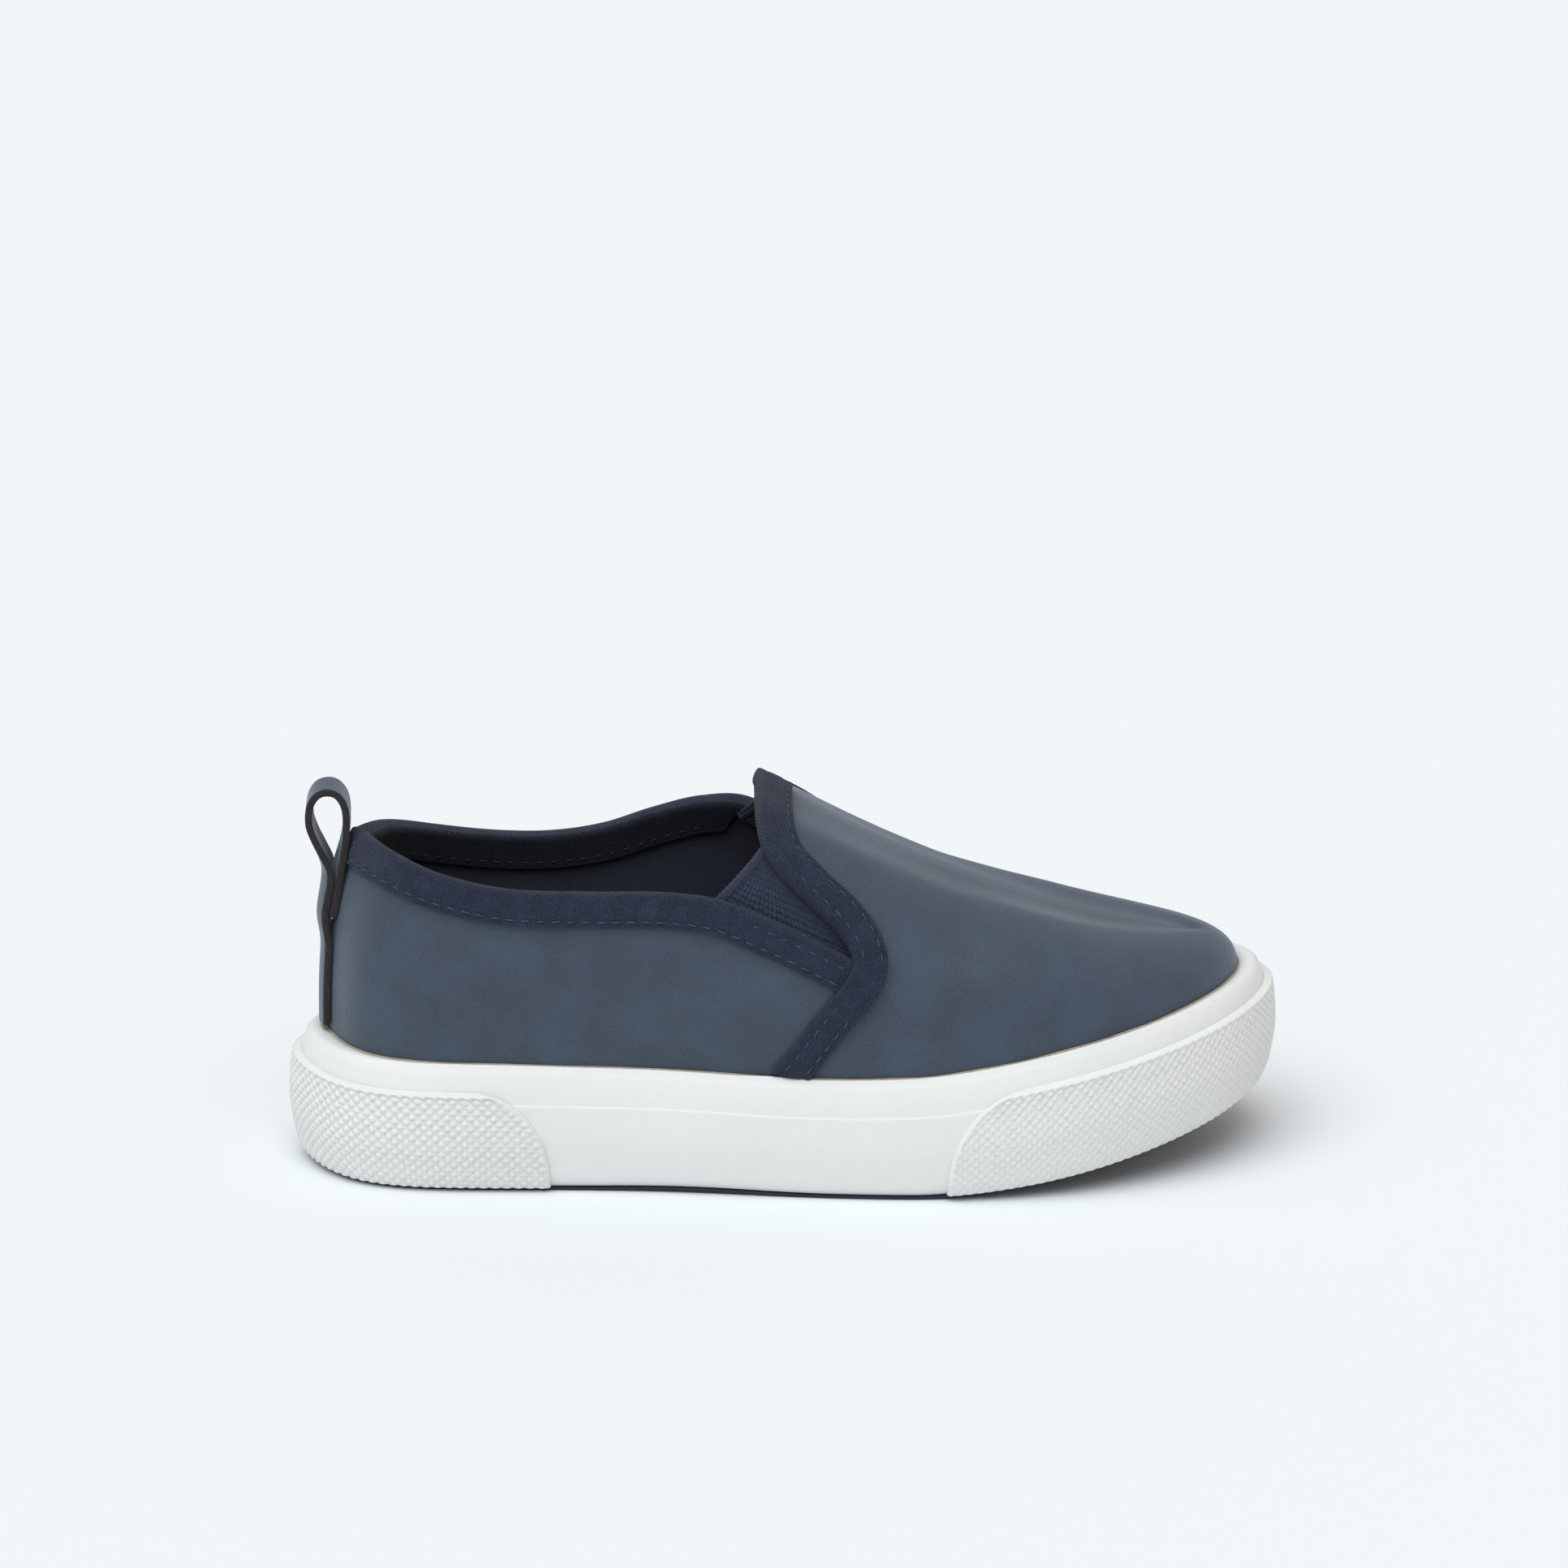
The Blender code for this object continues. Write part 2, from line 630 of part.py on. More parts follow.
def binding_section(cap_depth):
    """The binding's section: (distance from the edge into the leather, distance out of its face)."""
    face = GAP + BINDING_THICKNESS
    half = BINDING_WIDTH / 2
    edge = 1.5 * GAP
    return (
        (BINDING_WIDTH, GAP), (BINDING_WIDTH, 0.8 * face), (BINDING_WIDTH - 0.3 * face, face), (0.0, face),
        (-0.7 * face, 0.55 * face), (-face, cap_depth * 0.3), (-face, cap_depth), (-edge, cap_depth),
        (-edge, GAP), (half, GAP),
    )


def lay_binding(name, place, turn, towards, cap_depths, slant):
    """Sweep the binding's section along an edge of the leather.

    towards is a direction that points from the edge into the leather. Both ends are cut on a slant:
    slant is how far the cut moves along the binding for each unit of distance from the edge.
    """
    edge, _, _, outward = last_frame(place, turn)
    tangent = np.gradient(edge, axis=0)
    into = np.cross(outward, tangent)
    into *= np.sign(np.sum(into * towards, -1, keepdims=True))
    into /= np.linalg.norm(into, axis=-1, keepdims=True)
    sections = []
    for k, (distance, _) in enumerate(binding_section(0.0)):
        out = np.array([binding_section(depth)[k][1] for depth in cap_depths])
        spot, height = walk(place, turn, into, distance)
        line = off_last(spot, height, out[:, None])
        sections.append(slide(line, slant * (distance + GAP + BINDING_THICKNESS)))
    return sweep(name, np.swapaxes(sections, 0, 1), "navy_canvas")


def slide(line, trim):
    """Shorten a line of points by a distance at both ends, keeping their number."""
    length = np.concatenate([[0], np.cumsum(np.linalg.norm(np.diff(line, axis=0), axis=1))])
    wanted = trim + (length[-1] - 2 * trim) * length / length[-1]
    return np.stack([np.interp(wanted, length, line[:, k]) for k in range(3)], -1)


def build_quarter_binding():
    """From one gore's notch, round the collar and the heel, to the other gore's notch."""
    ends = []
    for side in ("lateral", "medial"):
        along = notch_foot(side)[0] - 2 * (GAP + BINDING_THICKNESS) - GAP
        place, _ = place_on_last(side, along, quarter_height[side](along))
        ends.append(float(place))
    place = np.concatenate([
        np.linspace(ends[0], 3, 20, endpoint=False),
        np.linspace(3, -3, 22, endpoint=False),
        np.linspace(-3, ends[1], 20),
    ])
    depths = np.full(len(place), -UPPER_WALL + GAP / 2)
    return lay_binding("quarter_binding", place, quarter_edge(place), np.array([0, 0, -1.0]), depths, slant=0.50)


def build_vamp_binding():
    """Up the lateral side from the foxing, across the throat and down the medial side.

    Over the gores it wraps the edge of the vamp. Below the notches it lies flat on the quarter.
    """
    path = []
    for side in ("lateral", "medial"):
        turn = np.concatenate([np.linspace(0.005, 0.72, 20, endpoint=False), np.linspace(0.72, 1.0, 11)])
        place = vamp_edge(side, turn)
        in_notch = last(place, turn)[..., 2] > notch_foot(side)[1] + 2 * BINDING_THICKNESS
        depth = np.where(in_notch, -UPPER_WALL + GAP / 2, GAP + 0.2 * BINDING_THICKNESS)
        path.append(np.stack([place, turn, depth], -1))
    lateral, medial = path
    medial[:, 0] += ROUND_TRIP
    place, turn, depth = np.concatenate([lateral, medial[-2::-1]]).T
    return lay_binding("vamp_binding", place, turn, np.array([1.0, 0, 0]), depth, slant=0.85)


def build_gore(side):
    """The elastic panel behind the notch, reaching under the quarter and the vamp."""
    foot = notch_foot(side)
    corner_along = GORE_CORNER[side] * SOLE_LENGTH
    corner = np.array([corner_along, float(quarter_height[side](corner_along))])
    rise = GORE_HEAD[side] * INSTEP_HEIGHT
    head = np.array([float(vamp_along[side](rise)), rise])
    top_way = (head - corner) / np.linalg.norm(head - corner)
    top_ends = (corner - GORE_OVERLAP * top_way - (0, GAP), head + GORE_OVERLAP / 2 * top_way)
    foot_ends = (foot + (-2 * GORE_OVERLAP, -GORE_OVERLAP), foot + (GORE_OVERLAP, -GORE_OVERLAP))
    rows = []
    for down in np.linspace(0, 1, 7):
        start = top_ends[0] * (1 - down) + foot_ends[0] * down
        end = top_ends[1] * (1 - down) + foot_ends[1] * down
        rows.append(np.linspace(start, end, 7))
    view = np.array(rows)
    place, turn = place_on_last(side, view[..., 0], view[..., 1])
    face = -(UPPER_WALL + 1.3 * GAP)
    outer = off_last(place, turn, face)
    inner = off_last(place, turn, face - GORE_THICKNESS)
    return slab("gore_" + side, inner, outer, "navy_elastic")


def heel_line(height, out):
    """Points (along, height) up the back of the heel, a distance out of the upper."""
    turn = bisect(np.zeros_like(height), np.full_like(height, 0.9), lambda t: last(0.0 * t, t)[..., 2] < height)
    point, _, _, outward = last_frame(np.zeros_like(turn), turn)
    return np.stack([point[:, 0] + out * outward[:, 0], point[:, 2] + out * outward[:, 2]], -1)


def build_pull_loop():
    """One tape: up the back seam from the foxing, round the loop, and its tail under the tape."""
    on_leather = GAP + TAPE_THICKNESS / 2
    on_binding = on_leather + GAP + BINDING_THICKNESS
    layer = TAPE_THICKNESS + GAP
    start = foxing_height(np.array(0.0)) + lift(np.array(0.0)) + 2 * GAP
    tail_end = LOOP_FOOT - TAPE_TAIL

    def out_of_leather(height):
        return on_leather + (on_binding - on_leather) * ease((height - tail_end) / (0.7 * TAPE_TAIL))

    rise = np.linspace(start, LOOP_FOOT, 15)
    over_tail = ease((rise - tail_end) / (4 * TAPE_THICKNESS) + 1)
    strip = heel_line(rise, out_of_leather(rise) + layer * over_tail)
    fall = np.linspace(LOOP_FOOT, tail_end, 5)
    tail = heel_line(fall, out_of_leather(fall))
    foot = tail[0]
    loop = np.array([(foot[0] - b.back * LOOP_DEPTH, foot[1] + b.up * LOOP_HEIGHT) for b in LOOP_BENDS])
    rough = np.concatenate([strip, loop, tail])
    length = np.concatenate([[0], np.cumsum(np.linalg.norm(np.diff(rough, axis=0), axis=1))])
    even = np.linspace(0, length[-1], 56)
    line = np.stack([open_curve(length, rough[:, k])(even) for k in range(2)], -1)
    ahead = np.gradient(line, axis=0)
    ahead /= np.linalg.norm(ahead, axis=1, keepdims=True)
    side_way = np.stack([-ahead[:, 1], ahead[:, 0]], -1)
    hug = 1 - np.clip((line[:, 1] - LOOP_FOOT) / (0.6 * LOOP_HEIGHT), 0, 1)
    widths = np.linspace(-TAPE_WIDTH / 2, TAPE_WIDTH / 2, 3)
    faces = []
    for face in (-TAPE_THICKNESS / 2, TAPE_THICKNESS / 2):
        rows = []
        for width in widths:
            bow = hug * width**2 / (2 * HEEL_RADIUS)
            x = line[:, 0] + face * side_way[:, 0] + bow
            rows.append(np.stack([x, np.full_like(x, width), line[:, 1] + face * side_way[:, 1]], -1))
        faces.append(np.array(rows))
    return slab("pull_loop", faces[0], faces[1], "blue_leather")


def centre_on_floor(shoe):
    """Move the whole shoe so that the origin is on the floor under the middle of its box."""
    points = np.array([vertex.co for piece in shoe.children for vertex in piece.data.vertices])
    middle = (points.min(0) + points.max(0)) / 2
    shoe.location = (-middle[0], -middle[1], -points[:, 2].min())


def main():
    for old in list(bpy.data.objects):
        bpy.data.objects.remove(old, do_unlink=True)
    shoe = bpy.data.objects.new("shoe", None)
    bpy.context.scene.collection.objects.link(shoe)
    build_outsole()
    build_foxing()
    build_bumper("heel_bumper", HEEL_BUMPER_REACH, HEEL_BUMPER_DROP, False, 25)
    build_bumper("toe_bumper", TOE_BUMPER_REACH, TOE_BUMPER_DROP, True, 29)
    build_insole()
    build_upper()
    build_quarter_binding()
    build_vamp_binding()
    build_gore("lateral")
    build_gore("medial")
    build_pull_loop()
    centre_on_floor(shoe)


main()
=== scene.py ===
import math
from collections import namedtuple

import bmesh
import bpy
import numpy as np
from bpy.props import FloatProperty, FloatVectorProperty, IntProperty, PointerProperty
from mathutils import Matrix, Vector

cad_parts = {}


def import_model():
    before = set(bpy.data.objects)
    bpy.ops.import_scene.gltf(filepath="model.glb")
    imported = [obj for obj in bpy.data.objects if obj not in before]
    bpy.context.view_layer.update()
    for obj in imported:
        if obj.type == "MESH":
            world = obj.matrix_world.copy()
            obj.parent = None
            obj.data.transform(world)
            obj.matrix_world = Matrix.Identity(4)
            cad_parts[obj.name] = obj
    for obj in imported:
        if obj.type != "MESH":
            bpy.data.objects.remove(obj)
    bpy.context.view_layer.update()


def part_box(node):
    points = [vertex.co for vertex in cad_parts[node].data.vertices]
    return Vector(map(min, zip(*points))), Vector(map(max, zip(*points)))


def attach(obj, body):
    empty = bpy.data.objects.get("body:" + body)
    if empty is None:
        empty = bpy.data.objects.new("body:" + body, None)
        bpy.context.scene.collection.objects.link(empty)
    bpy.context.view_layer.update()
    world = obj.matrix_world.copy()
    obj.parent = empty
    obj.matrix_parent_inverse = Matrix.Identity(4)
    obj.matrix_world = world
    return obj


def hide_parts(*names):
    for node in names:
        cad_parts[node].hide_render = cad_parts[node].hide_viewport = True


bl_info = {
    "name": "Slip-on sneaker dressing",
    "version": (1, 0, 0),
    "blender": (4, 5, 0),
    "location": "View3D > Sidebar > Sneaker",
    "description": "Dresses the packed slip-on sneaker: leather, bound edges, elastic, rubber and stitching",
    "category": "Object",
}

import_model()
MM = 0.001

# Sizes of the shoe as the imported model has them. Here x runs from the back of the heel to the toe.
# Only FOXING_STRIP_STEP is lower than there, because the photo shows it fainter.
SOLE_LENGTH = 0.1795
HEEL_WIDTH = 0.0500
BALL_WIDTH = 0.0660
FOXING_HEIGHT = 0.0222
FOXING_WALL = 0.0034
FOXING_TUCK = 0.0024
FOXING_STRIP_STEP = 0.0002
TOE_SPRING = 0.0122
HEEL_LIFT = 0.0012
ARCH_RISE = 0.0004
OUTSOLE_THICKNESS = 0.0080
OUTSOLE_LIP = 0.0006
OUTSOLE_LIP_INSET = 0.0022
INSOLE_THICKNESS = 0.0040
BUMPER_THICKNESS = 0.0010
HEEL_BUMPER_DROP = 0.0044
TOE_BUMPER_DROP = 0.0042
HEEL_BUMPER_REACH = 0.0462
TOE_BUMPER_REACH = 0.0622
BUMPER_CORNER = 0.0140
COLLAR_HEIGHT = 0.0612
COLLAR_SPLAY = 0.0100
INSTEP_HEIGHT = 0.0705
CREST_SIDE = 0.0020
UPPER_WALL = 0.0018
BINDING_WIDTH = 0.0053
BINDING_THICKNESS = 0.0009
GORE_THICKNESS = 0.0012
TAPE_WIDTH = 0.0090
TAPE_THICKNESS = 0.0013
LOOP_HEIGHT = 0.0156
LOOP_DEPTH = 0.0072
LOOP_FOOT = 0.0540
TAPE_TAIL = 0.0080
GAP = 0.0003
SEARCHED_PLACES = (2.0, 11.0)
VAMP_FAN = 1.6
# Where the toe's and the heel's lift begin and where the arch lies, as shares of SOLE_LENGTH
TOE_ROCKER = 0.62
HEEL_ROCKER = 0.09
ARCH_START = 0.26
ARCH_LENGTH = 0.28

# Stations from the heel to the toe, as shares of the sizes above
Station = namedtuple("Station", "along width lateral medial wall rise")
STATIONS = (
    Station(0.000, HEEL_WIDTH, 0.00, 0.00, 1.68, 1.08),
    Station(0.012, HEEL_WIDTH, 0.36, 0.36, 1.75, 1.08),
    Station(0.050, HEEL_WIDTH, 0.72, 0.70, 1.45, 1.08),
    Station(0.120, HEEL_WIDTH, 0.94, 0.90, 1.12, 1.07),
    Station(0.220, HEEL_WIDTH, 1.01, 0.95, 1.00, 1.06),
    Station(0.340, BALL_WIDTH, 0.82, 0.72, 1.00, 1.03),
    Station(0.460, BALL_WIDTH, 0.92, 0.76, 1.00, 1.00),
    Station(0.580, BALL_WIDTH, 1.01, 0.86, 1.00, 1.01),
    Station(0.680, BALL_WIDTH, 1.03, 0.95, 1.00, 1.05),
    Station(0.780, BALL_WIDTH, 0.97, 0.97, 1.05, 1.08),
    Station(0.870, BALL_WIDTH, 0.79, 0.89, 1.20, 1.07),
    Station(0.940, BALL_WIDTH, 0.53, 0.73, 1.40, 1.05),
    Station(0.985, BALL_WIDTH, 0.20, 0.45, 1.60, 1.02),
    Station(1.000, BALL_WIDTH, -0.12, 0.12, 1.70, 1.02),
)
Crest = namedtuple("Crest", "along height full_l full_m splay_l splay_m")
CRESTS = (
    Crest(0.200, 1.070, 2.5, 2.5, 0.00, 0.00),
    Crest(0.205, 1.070, 2.5, 2.5, 0.00, 0.00),
    Crest(0.215, 1.080, 2.5, 2.5, 0.00, 0.00),
    Crest(0.235, 1.090, 2.5, 2.5, 0.05, 0.07),
    Crest(0.280, 1.110, 2.4, 2.4, 0.25, 0.30),
    Crest(0.355, 1.110, 2.3, 2.3, 0.60, 0.75),
    Crest(0.430, 1.055, 2.2, 2.2, 0.70, 0.90),
    Crest(0.530, 0.917, 2.2, 2.1, 0.30, 0.40),
    Crest(0.625, 0.792, 2.2, 2.0, 0.10, 0.10),
    Crest(0.710, 0.706, 2.3, 2.0, 0.05, 0.00),
    Crest(0.785, 0.639, 2.3, 2.1, 0.00, 0.00),
    Crest(0.845, 0.600, 2.3, 2.1, 0.00, 0.00),
    Crest(0.885, 0.579, 2.3, 2.2, 0.00, 0.00),
    Crest(0.905, 0.568, 2.2, 2.2, 0.00, 0.00),
)
RIDGE_AT_TOE = 0.500
Edge = namedtuple("Edge", "along height")
QUARTER_EDGE = {
    "lateral": (
        Edge(-0.10, 1.000), Edge(0.030, 1.000), Edge(0.090, 0.987), Edge(0.145, 0.936),
        Edge(0.212, 0.896), Edge(0.300, 0.892), Edge(0.384, 0.896), Edge(0.422, 0.884),
        Edge(0.484, 0.815), Edge(0.567, 0.694), Edge(0.640, 0.590),
    ),
    "medial": (
        Edge(-0.10, 1.000), Edge(0.030, 1.000), Edge(0.090, 0.963), Edge(0.145, 0.919),
        Edge(0.212, 0.886), Edge(0.265, 0.879), Edge(0.320, 0.898), Edge(0.370, 0.942),
        Edge(0.420, 0.976), Edge(0.465, 0.975), Edge(0.510, 0.895), Edge(0.577, 0.750),
        Edge(0.640, 0.620),
    ),
}
VAMP_EDGE = {
    "lateral": (
        Edge(0.462, 0.250), Edge(0.504, 0.393), Edge(0.535, 0.500), Edge(0.555, 0.560),
        Edge(0.566, 0.614), Edge(0.563, 0.655), Edge(0.549, 0.710), Edge(0.512, 0.800),
        Edge(0.487, 0.870), Edge(0.477, 0.940), Edge(0.478, 0.980), Edge(0.489, 1.020),
        Edge(0.489, 1.200),
    ),
    "medial": (
        Edge(0.470, 0.250), Edge(0.512, 0.393), Edge(0.545, 0.500), Edge(0.572, 0.610),
        Edge(0.574, 0.680), Edge(0.560, 0.740), Edge(0.530, 0.815), Edge(0.505, 0.880),
        Edge(0.485, 0.945), Edge(0.480, 0.980), Edge(0.489, 1.020), Edge(0.489, 1.200),
    ),
}
GORE_CORNER = {"lateral": 0.422, "medial": 0.465}
GORE_HEAD = {"lateral": 0.910, "medial": 0.915}
SIDES = ("lateral", "medial")
WAY_ROUND = {"lateral": 1, "medial": -1}
Face = namedtuple("Face", "height tuck")
FOXING_FACE = (
    Face(0.00, 0.80), Face(0.07, 0.50), Face(0.20, 0.22), Face(0.40, 0.00), Face(0.60, 0.08),
    Face(0.82, 0.38), Face(1.00, 1.00),
)
STRIP_TOP = 0.69
Bend = namedtuple("Bend", "back up")
LOOP_BENDS = (
    Bend(0.31, 0.14), Bend(0.41, 0.27), Bend(0.53, 0.41), Bend(0.60, 0.55), Bend(0.62, 0.70),
    Bend(0.57, 0.84), Bend(0.43, 0.95), Bend(0.16, 1.00), Bend(-0.12, 0.97), Bend(-0.29, 0.86),
    Bend(-0.35, 0.72), Bend(-0.34, 0.55), Bend(-0.27, 0.38), Bend(-0.15, 0.20),
)
LAST_STATION = len(STATIONS) - 1
ROUND_TRIP = 2 * LAST_STATION

# The top of the foxing, from its side to the upper: share of the way in, and how far down, in metres
LipPoint = namedtuple("LipPoint", "inward down")
FOXING_LIP = (
    LipPoint(0.0, 0.0007), LipPoint(0.10, 0.0003), LipPoint(0.28, 0.00006), LipPoint(0.6, 0.0),
    LipPoint(0.93, 0.0001), LipPoint(1.0, 0.0004),
)
# The padded top of the insole, from its rim to its middle: share of the way in, and rise, in metres
PadPoint = namedtuple("PadPoint", "share rise")
INSOLE_PADDING = (
    PadPoint(0.0, -0.0006), PadPoint(0.015, 0.0002), PadPoint(0.04, 0.0006), PadPoint(0.1, 0.0004),
    PadPoint(0.25, -0.0004), PadPoint(0.5, -0.0011), PadPoint(0.75, -0.0013), PadPoint(0.97, -0.0013),
)

# The woven tape's section: points on its face, round the edge and down its inner leg. The outer
# ones are raised where the tape passes over another; the inner ones lie in the shoe's shade, painted on with
# a darker tape.
FACE_POINTS = 22
BEND_POINTS = 11
LEG_POINTS = 9
RAISED_POINTS = 30
FIRST_PAINTED_SHADE_POINT = 29
SHORTEST_LEG = 0.0004
PRESSED_IN = 0.06 * MM
PATH_STEP = 0.0005
TAPE_FACE_POINTS = 14

# Colours of the stage and of the fine detail, the elastic's pitch in mm, the lamp and the camera's aim
DUST = (0.42, 0.37, 0.31, 1)
LEATHER_SHEEN = (0.74, 0.88, 1.0, 1)
FLOOR_COLOUR = (0.864, 0.890, 0.920, 1)
ROOM_COLOUR = (1.0, 0.940, 0.890, 1)
LAMP_COLOUR = (0.880, 0.965, 1.0)
ELASTIC_PITCH = 0.66
LAMP_DIRECTION = (0.26, 0.50, -1.0)
LAMP_SPREAD = math.radians(60)
CAMERA_AIM = (0.0896, 0.0, 0.0690)

# How much finer the toe bumper's diamonds are than the heel bumper's
TOE_KNURL_PITCH = 0.9
TOE_KNURL_DEPTH = 0.6

# Soft hollows and swells of the leather, seen from the side: from one point to another, as shares of
# SOLE_LENGTH and INSTEP_HEIGHT. reach is how far each fades out and swell how far it stands out, in mm.
Crease = namedtuple("Crease", "side along height to_along to_height reach swell")
CREASES = (
    Crease("lateral", 0.600, 0.500, 0.660, 0.700, 5.0, -0.25),
    Crease("lateral", 0.690, 0.420, 0.720, 0.600, 6.0, 0.20),
    Crease("lateral", 0.770, 0.400, 0.800, 0.560, 6.0, -0.22),
    Crease("lateral", 0.140, 0.500, 0.320, 0.560, 7.0, 0.30),
    Crease("lateral", 0.200, 0.700, 0.330, 0.640, 5.0, -0.28),
    Crease("lateral", 0.360, 0.440, 0.440, 0.560, 6.0, -0.25),
    Crease("lateral", 0.080, 0.450, 0.110, 0.700, 5.0, -0.20),
    Crease("medial", 0.610, 0.520, 0.660, 0.690, 5.5, -0.25),
    Crease("medial", 0.720, 0.420, 0.760, 0.580, 6.0, 0.20),
    Crease("medial", 0.180, 0.620, 0.360, 0.600, 7.0, -0.25),
    Crease("medial", 0.300, 0.440, 0.440, 0.500, 6.0, 0.25),
)


# The sizes and colours that a user would change

class SneakerFinish(bpy.types.PropertyGroup):
    """Colours of the shoe's materials"""

    leather: FloatVectorProperty(
        name="Leather", description="Grey-blue of the upper and the pull loop",
        subtype="COLOR", min=0, max=1, default=(0.048, 0.067, 0.099))
    canvas: FloatVectorProperty(
        name="Binding", description="Navy of the woven tape that binds the edges",
        subtype="COLOR", min=0, max=1, default=(0.024, 0.033, 0.062))
    elastic: FloatVectorProperty(
        name="Elastic", description="Navy of the ribbed gores",
        subtype="COLOR", min=0, max=1, default=(0.028, 0.038, 0.070))
    lining: FloatVectorProperty(
        name="Lining", description="Dark cloth of the lining and the insole",
        subtype="COLOR", min=0, max=1, default=(0.030, 0.034, 0.050))
    rubber: FloatVectorProperty(
        name="Foxing", description="White rubber of the foxing and the bumpers",
        subtype="COLOR", min=0, max=1, default=(0.79, 0.80, 0.79))
    outsole: FloatVectorProperty(
        name="Outsole", description="Navy rubber under the shoe",
        subtype="COLOR", min=0, max=1, default=(0.012, 0.016, 0.035))
    thread: FloatVectorProperty(
        name="Thread", description="Blue of the sewing thread",
        subtype="COLOR", min=0, max=1, default=(0.044, 0.060, 0.108))
    raw_edge: FloatVectorProperty(
        name="Raw edge", description="Brown-black fibres at the cut edges of the tape",
        subtype="COLOR", min=0, max=1, default=(0.030, 0.026, 0.028))
    cement: FloatVectorProperty(
        name="Cement", description="Warm line of cement where the upper meets the foxing",
        subtype="COLOR", min=0, max=1, default=(0.36, 0.29, 0.23))


class SneakerMake(bpy.types.PropertyGroup):
    """Sizes of the shoe's sewn and moulded detail"""

    stitch_pitch: FloatProperty(
        name="Stitch pitch", description="From one stitch to the next", unit="LENGTH", default=0.0027)
    stitch_length: FloatProperty(
        name="Stitch length", description="Length of thread that shows", unit="LENGTH", default=0.0016)
    thread: FloatProperty(
        name="Thread", description="Radius of the sewing thread", unit="LENGTH", default=0.00017)
    seam_inset: FloatProperty(
        name="Seam inset", description="From the bound edge to the seam", unit="LENGTH", default=0.0041)
    weave: FloatProperty(
        name="Weave", description="Pitch of the binding's threads", unit="LENGTH", default=0.00036)
    ribs: IntProperty(
        name="Gore ribs", description="Ribs across the visible gore", min=4, default=12)
    rib_depth: FloatProperty(
        name="Rib depth", description="Depth of the grooves of the elastic", unit="LENGTH", default=0.00025)
    knurl_pitch: FloatProperty(
        name="Knurl pitch", description="Width of a diamond on the bumpers", unit="LENGTH", default=0.0021)
    knurl_depth: FloatProperty(
        name="Knurl depth", description="Depth of the bumpers' grooves", unit="LENGTH", default=0.00045)
    bumper_rim: FloatProperty(
        name="Bumper rim", description="Plain rim round the knurled field", unit="LENGTH", default=0.0006)


class SneakerStage(bpy.types.PropertyGroup):
    """Camera and light"""

    azimuth: FloatProperty(
        name="Azimuth", description="Angle of the camera round the shoe", subtype="ANGLE",
        default=math.radians(-2.8))
    elevation: FloatProperty(
        name="Elevation", description="Angle of the camera above the floor", subtype="ANGLE",
        default=math.radians(16.2))
    distance: FloatProperty(
        name="Distance", description="From the camera to the shoe", unit="LENGTH", default=1.0169)
    lens: FloatProperty(
        name="Lens", description="Focal length in millimetres", min=1, default=128.6)
    sky: FloatProperty(
        name="Sky", description="Brightness of the soft light all round", min=0, default=0.62)
    key: FloatProperty(
        name="Overhead", description="Strength of the wide lamp overhead", min=0, default=1.90)


# Curves

def closed_curve(rows):
    """A smooth closed curve through the rows, as a function of the place."""
    rows = np.asarray(rows, float)
    count = len(rows)
    ring = np.eye(count)
    system = 4 * ring + np.roll(ring, 1, 0) + np.roll(ring, -1, 0)
    slopes = np.linalg.solve(system, 3 * (np.roll(rows, -1, 0) - np.roll(rows, 1, 0)))

    def at(place):
        place = np.asarray(place, float)
        before = np.floor(place).astype(int)
        t = (place - before)[..., None]
        before = before % count
        after = (before + 1) % count
        return hermite(t, rows[before], slopes[before], rows[after], slopes[after])

    return at


def hermite(t, start, start_slope, end, end_slope):
    return (
        (2 * t**3 - 3 * t**2 + 1) * start
        + (t**3 - 2 * t**2 + t) * start_slope
        + (3 * t**2 - 2 * t**3) * end
        + (t**3 - t**2) * end_slope
    )


def open_curve(inputs, values):
    """A smooth curve through the values, as a function of the input."""
    inputs = np.asarray(inputs, float)
    values = np.asarray(values, float)
    slopes = np.gradient(values, inputs)

    def at(x):
        x = np.clip(x, inputs[0], inputs[-1])
        i = np.clip(np.searchsorted(inputs, x) - 1, 0, len(inputs) - 2)
        step = inputs[i + 1] - inputs[i]
        t = (x - inputs[i]) / step
        return hermite(t, values[i], slopes[i] * step, values[i + 1], slopes[i + 1] * step)

    return at


def ease(share):
    """A smooth step from 0 to 1."""
    share = np.clip(share, 0, 1)
    return share * share * (3 - 2 * share)


def unit(vectors):
    """The same directions, each with a length of 1."""
    return vectors / np.linalg.norm(vectors, axis=-1, keepdims=True)


def run_lengths(line):
    """The distance along a line of points, from the first one to each."""
    steps = np.linalg.norm(np.diff(line, axis=0), axis=1)
    return np.concatenate([[0], np.cumsum(steps)])


def resample(wanted, length, rows):
    """Rows of values that are known at some lengths, read at the wanted lengths."""
    return np.stack([np.interp(wanted, length, column) for column in rows.T], -1)


def both_sides(lateral, medial):
    """Rows for the whole trip round the shoe: the heel and the toe are in it once."""
    return lateral + medial[-2:0:-1]


def sole_rows(side, sign):
    return [
        (s.along * SOLE_LENGTH, sign * getattr(s, side) * s.width / 2,
         s.wall * FOXING_WALL, s.rise * FOXING_HEIGHT)
        for s in STATIONS
    ]


def crest_rows(side):
    return [
        (c.along * SOLE_LENGTH, c.height * INSTEP_HEIGHT, getattr(c, "full_" + side),
         getattr(c, "splay_" + side) * COLLAR_SPLAY)
        for c in CRESTS
    ]


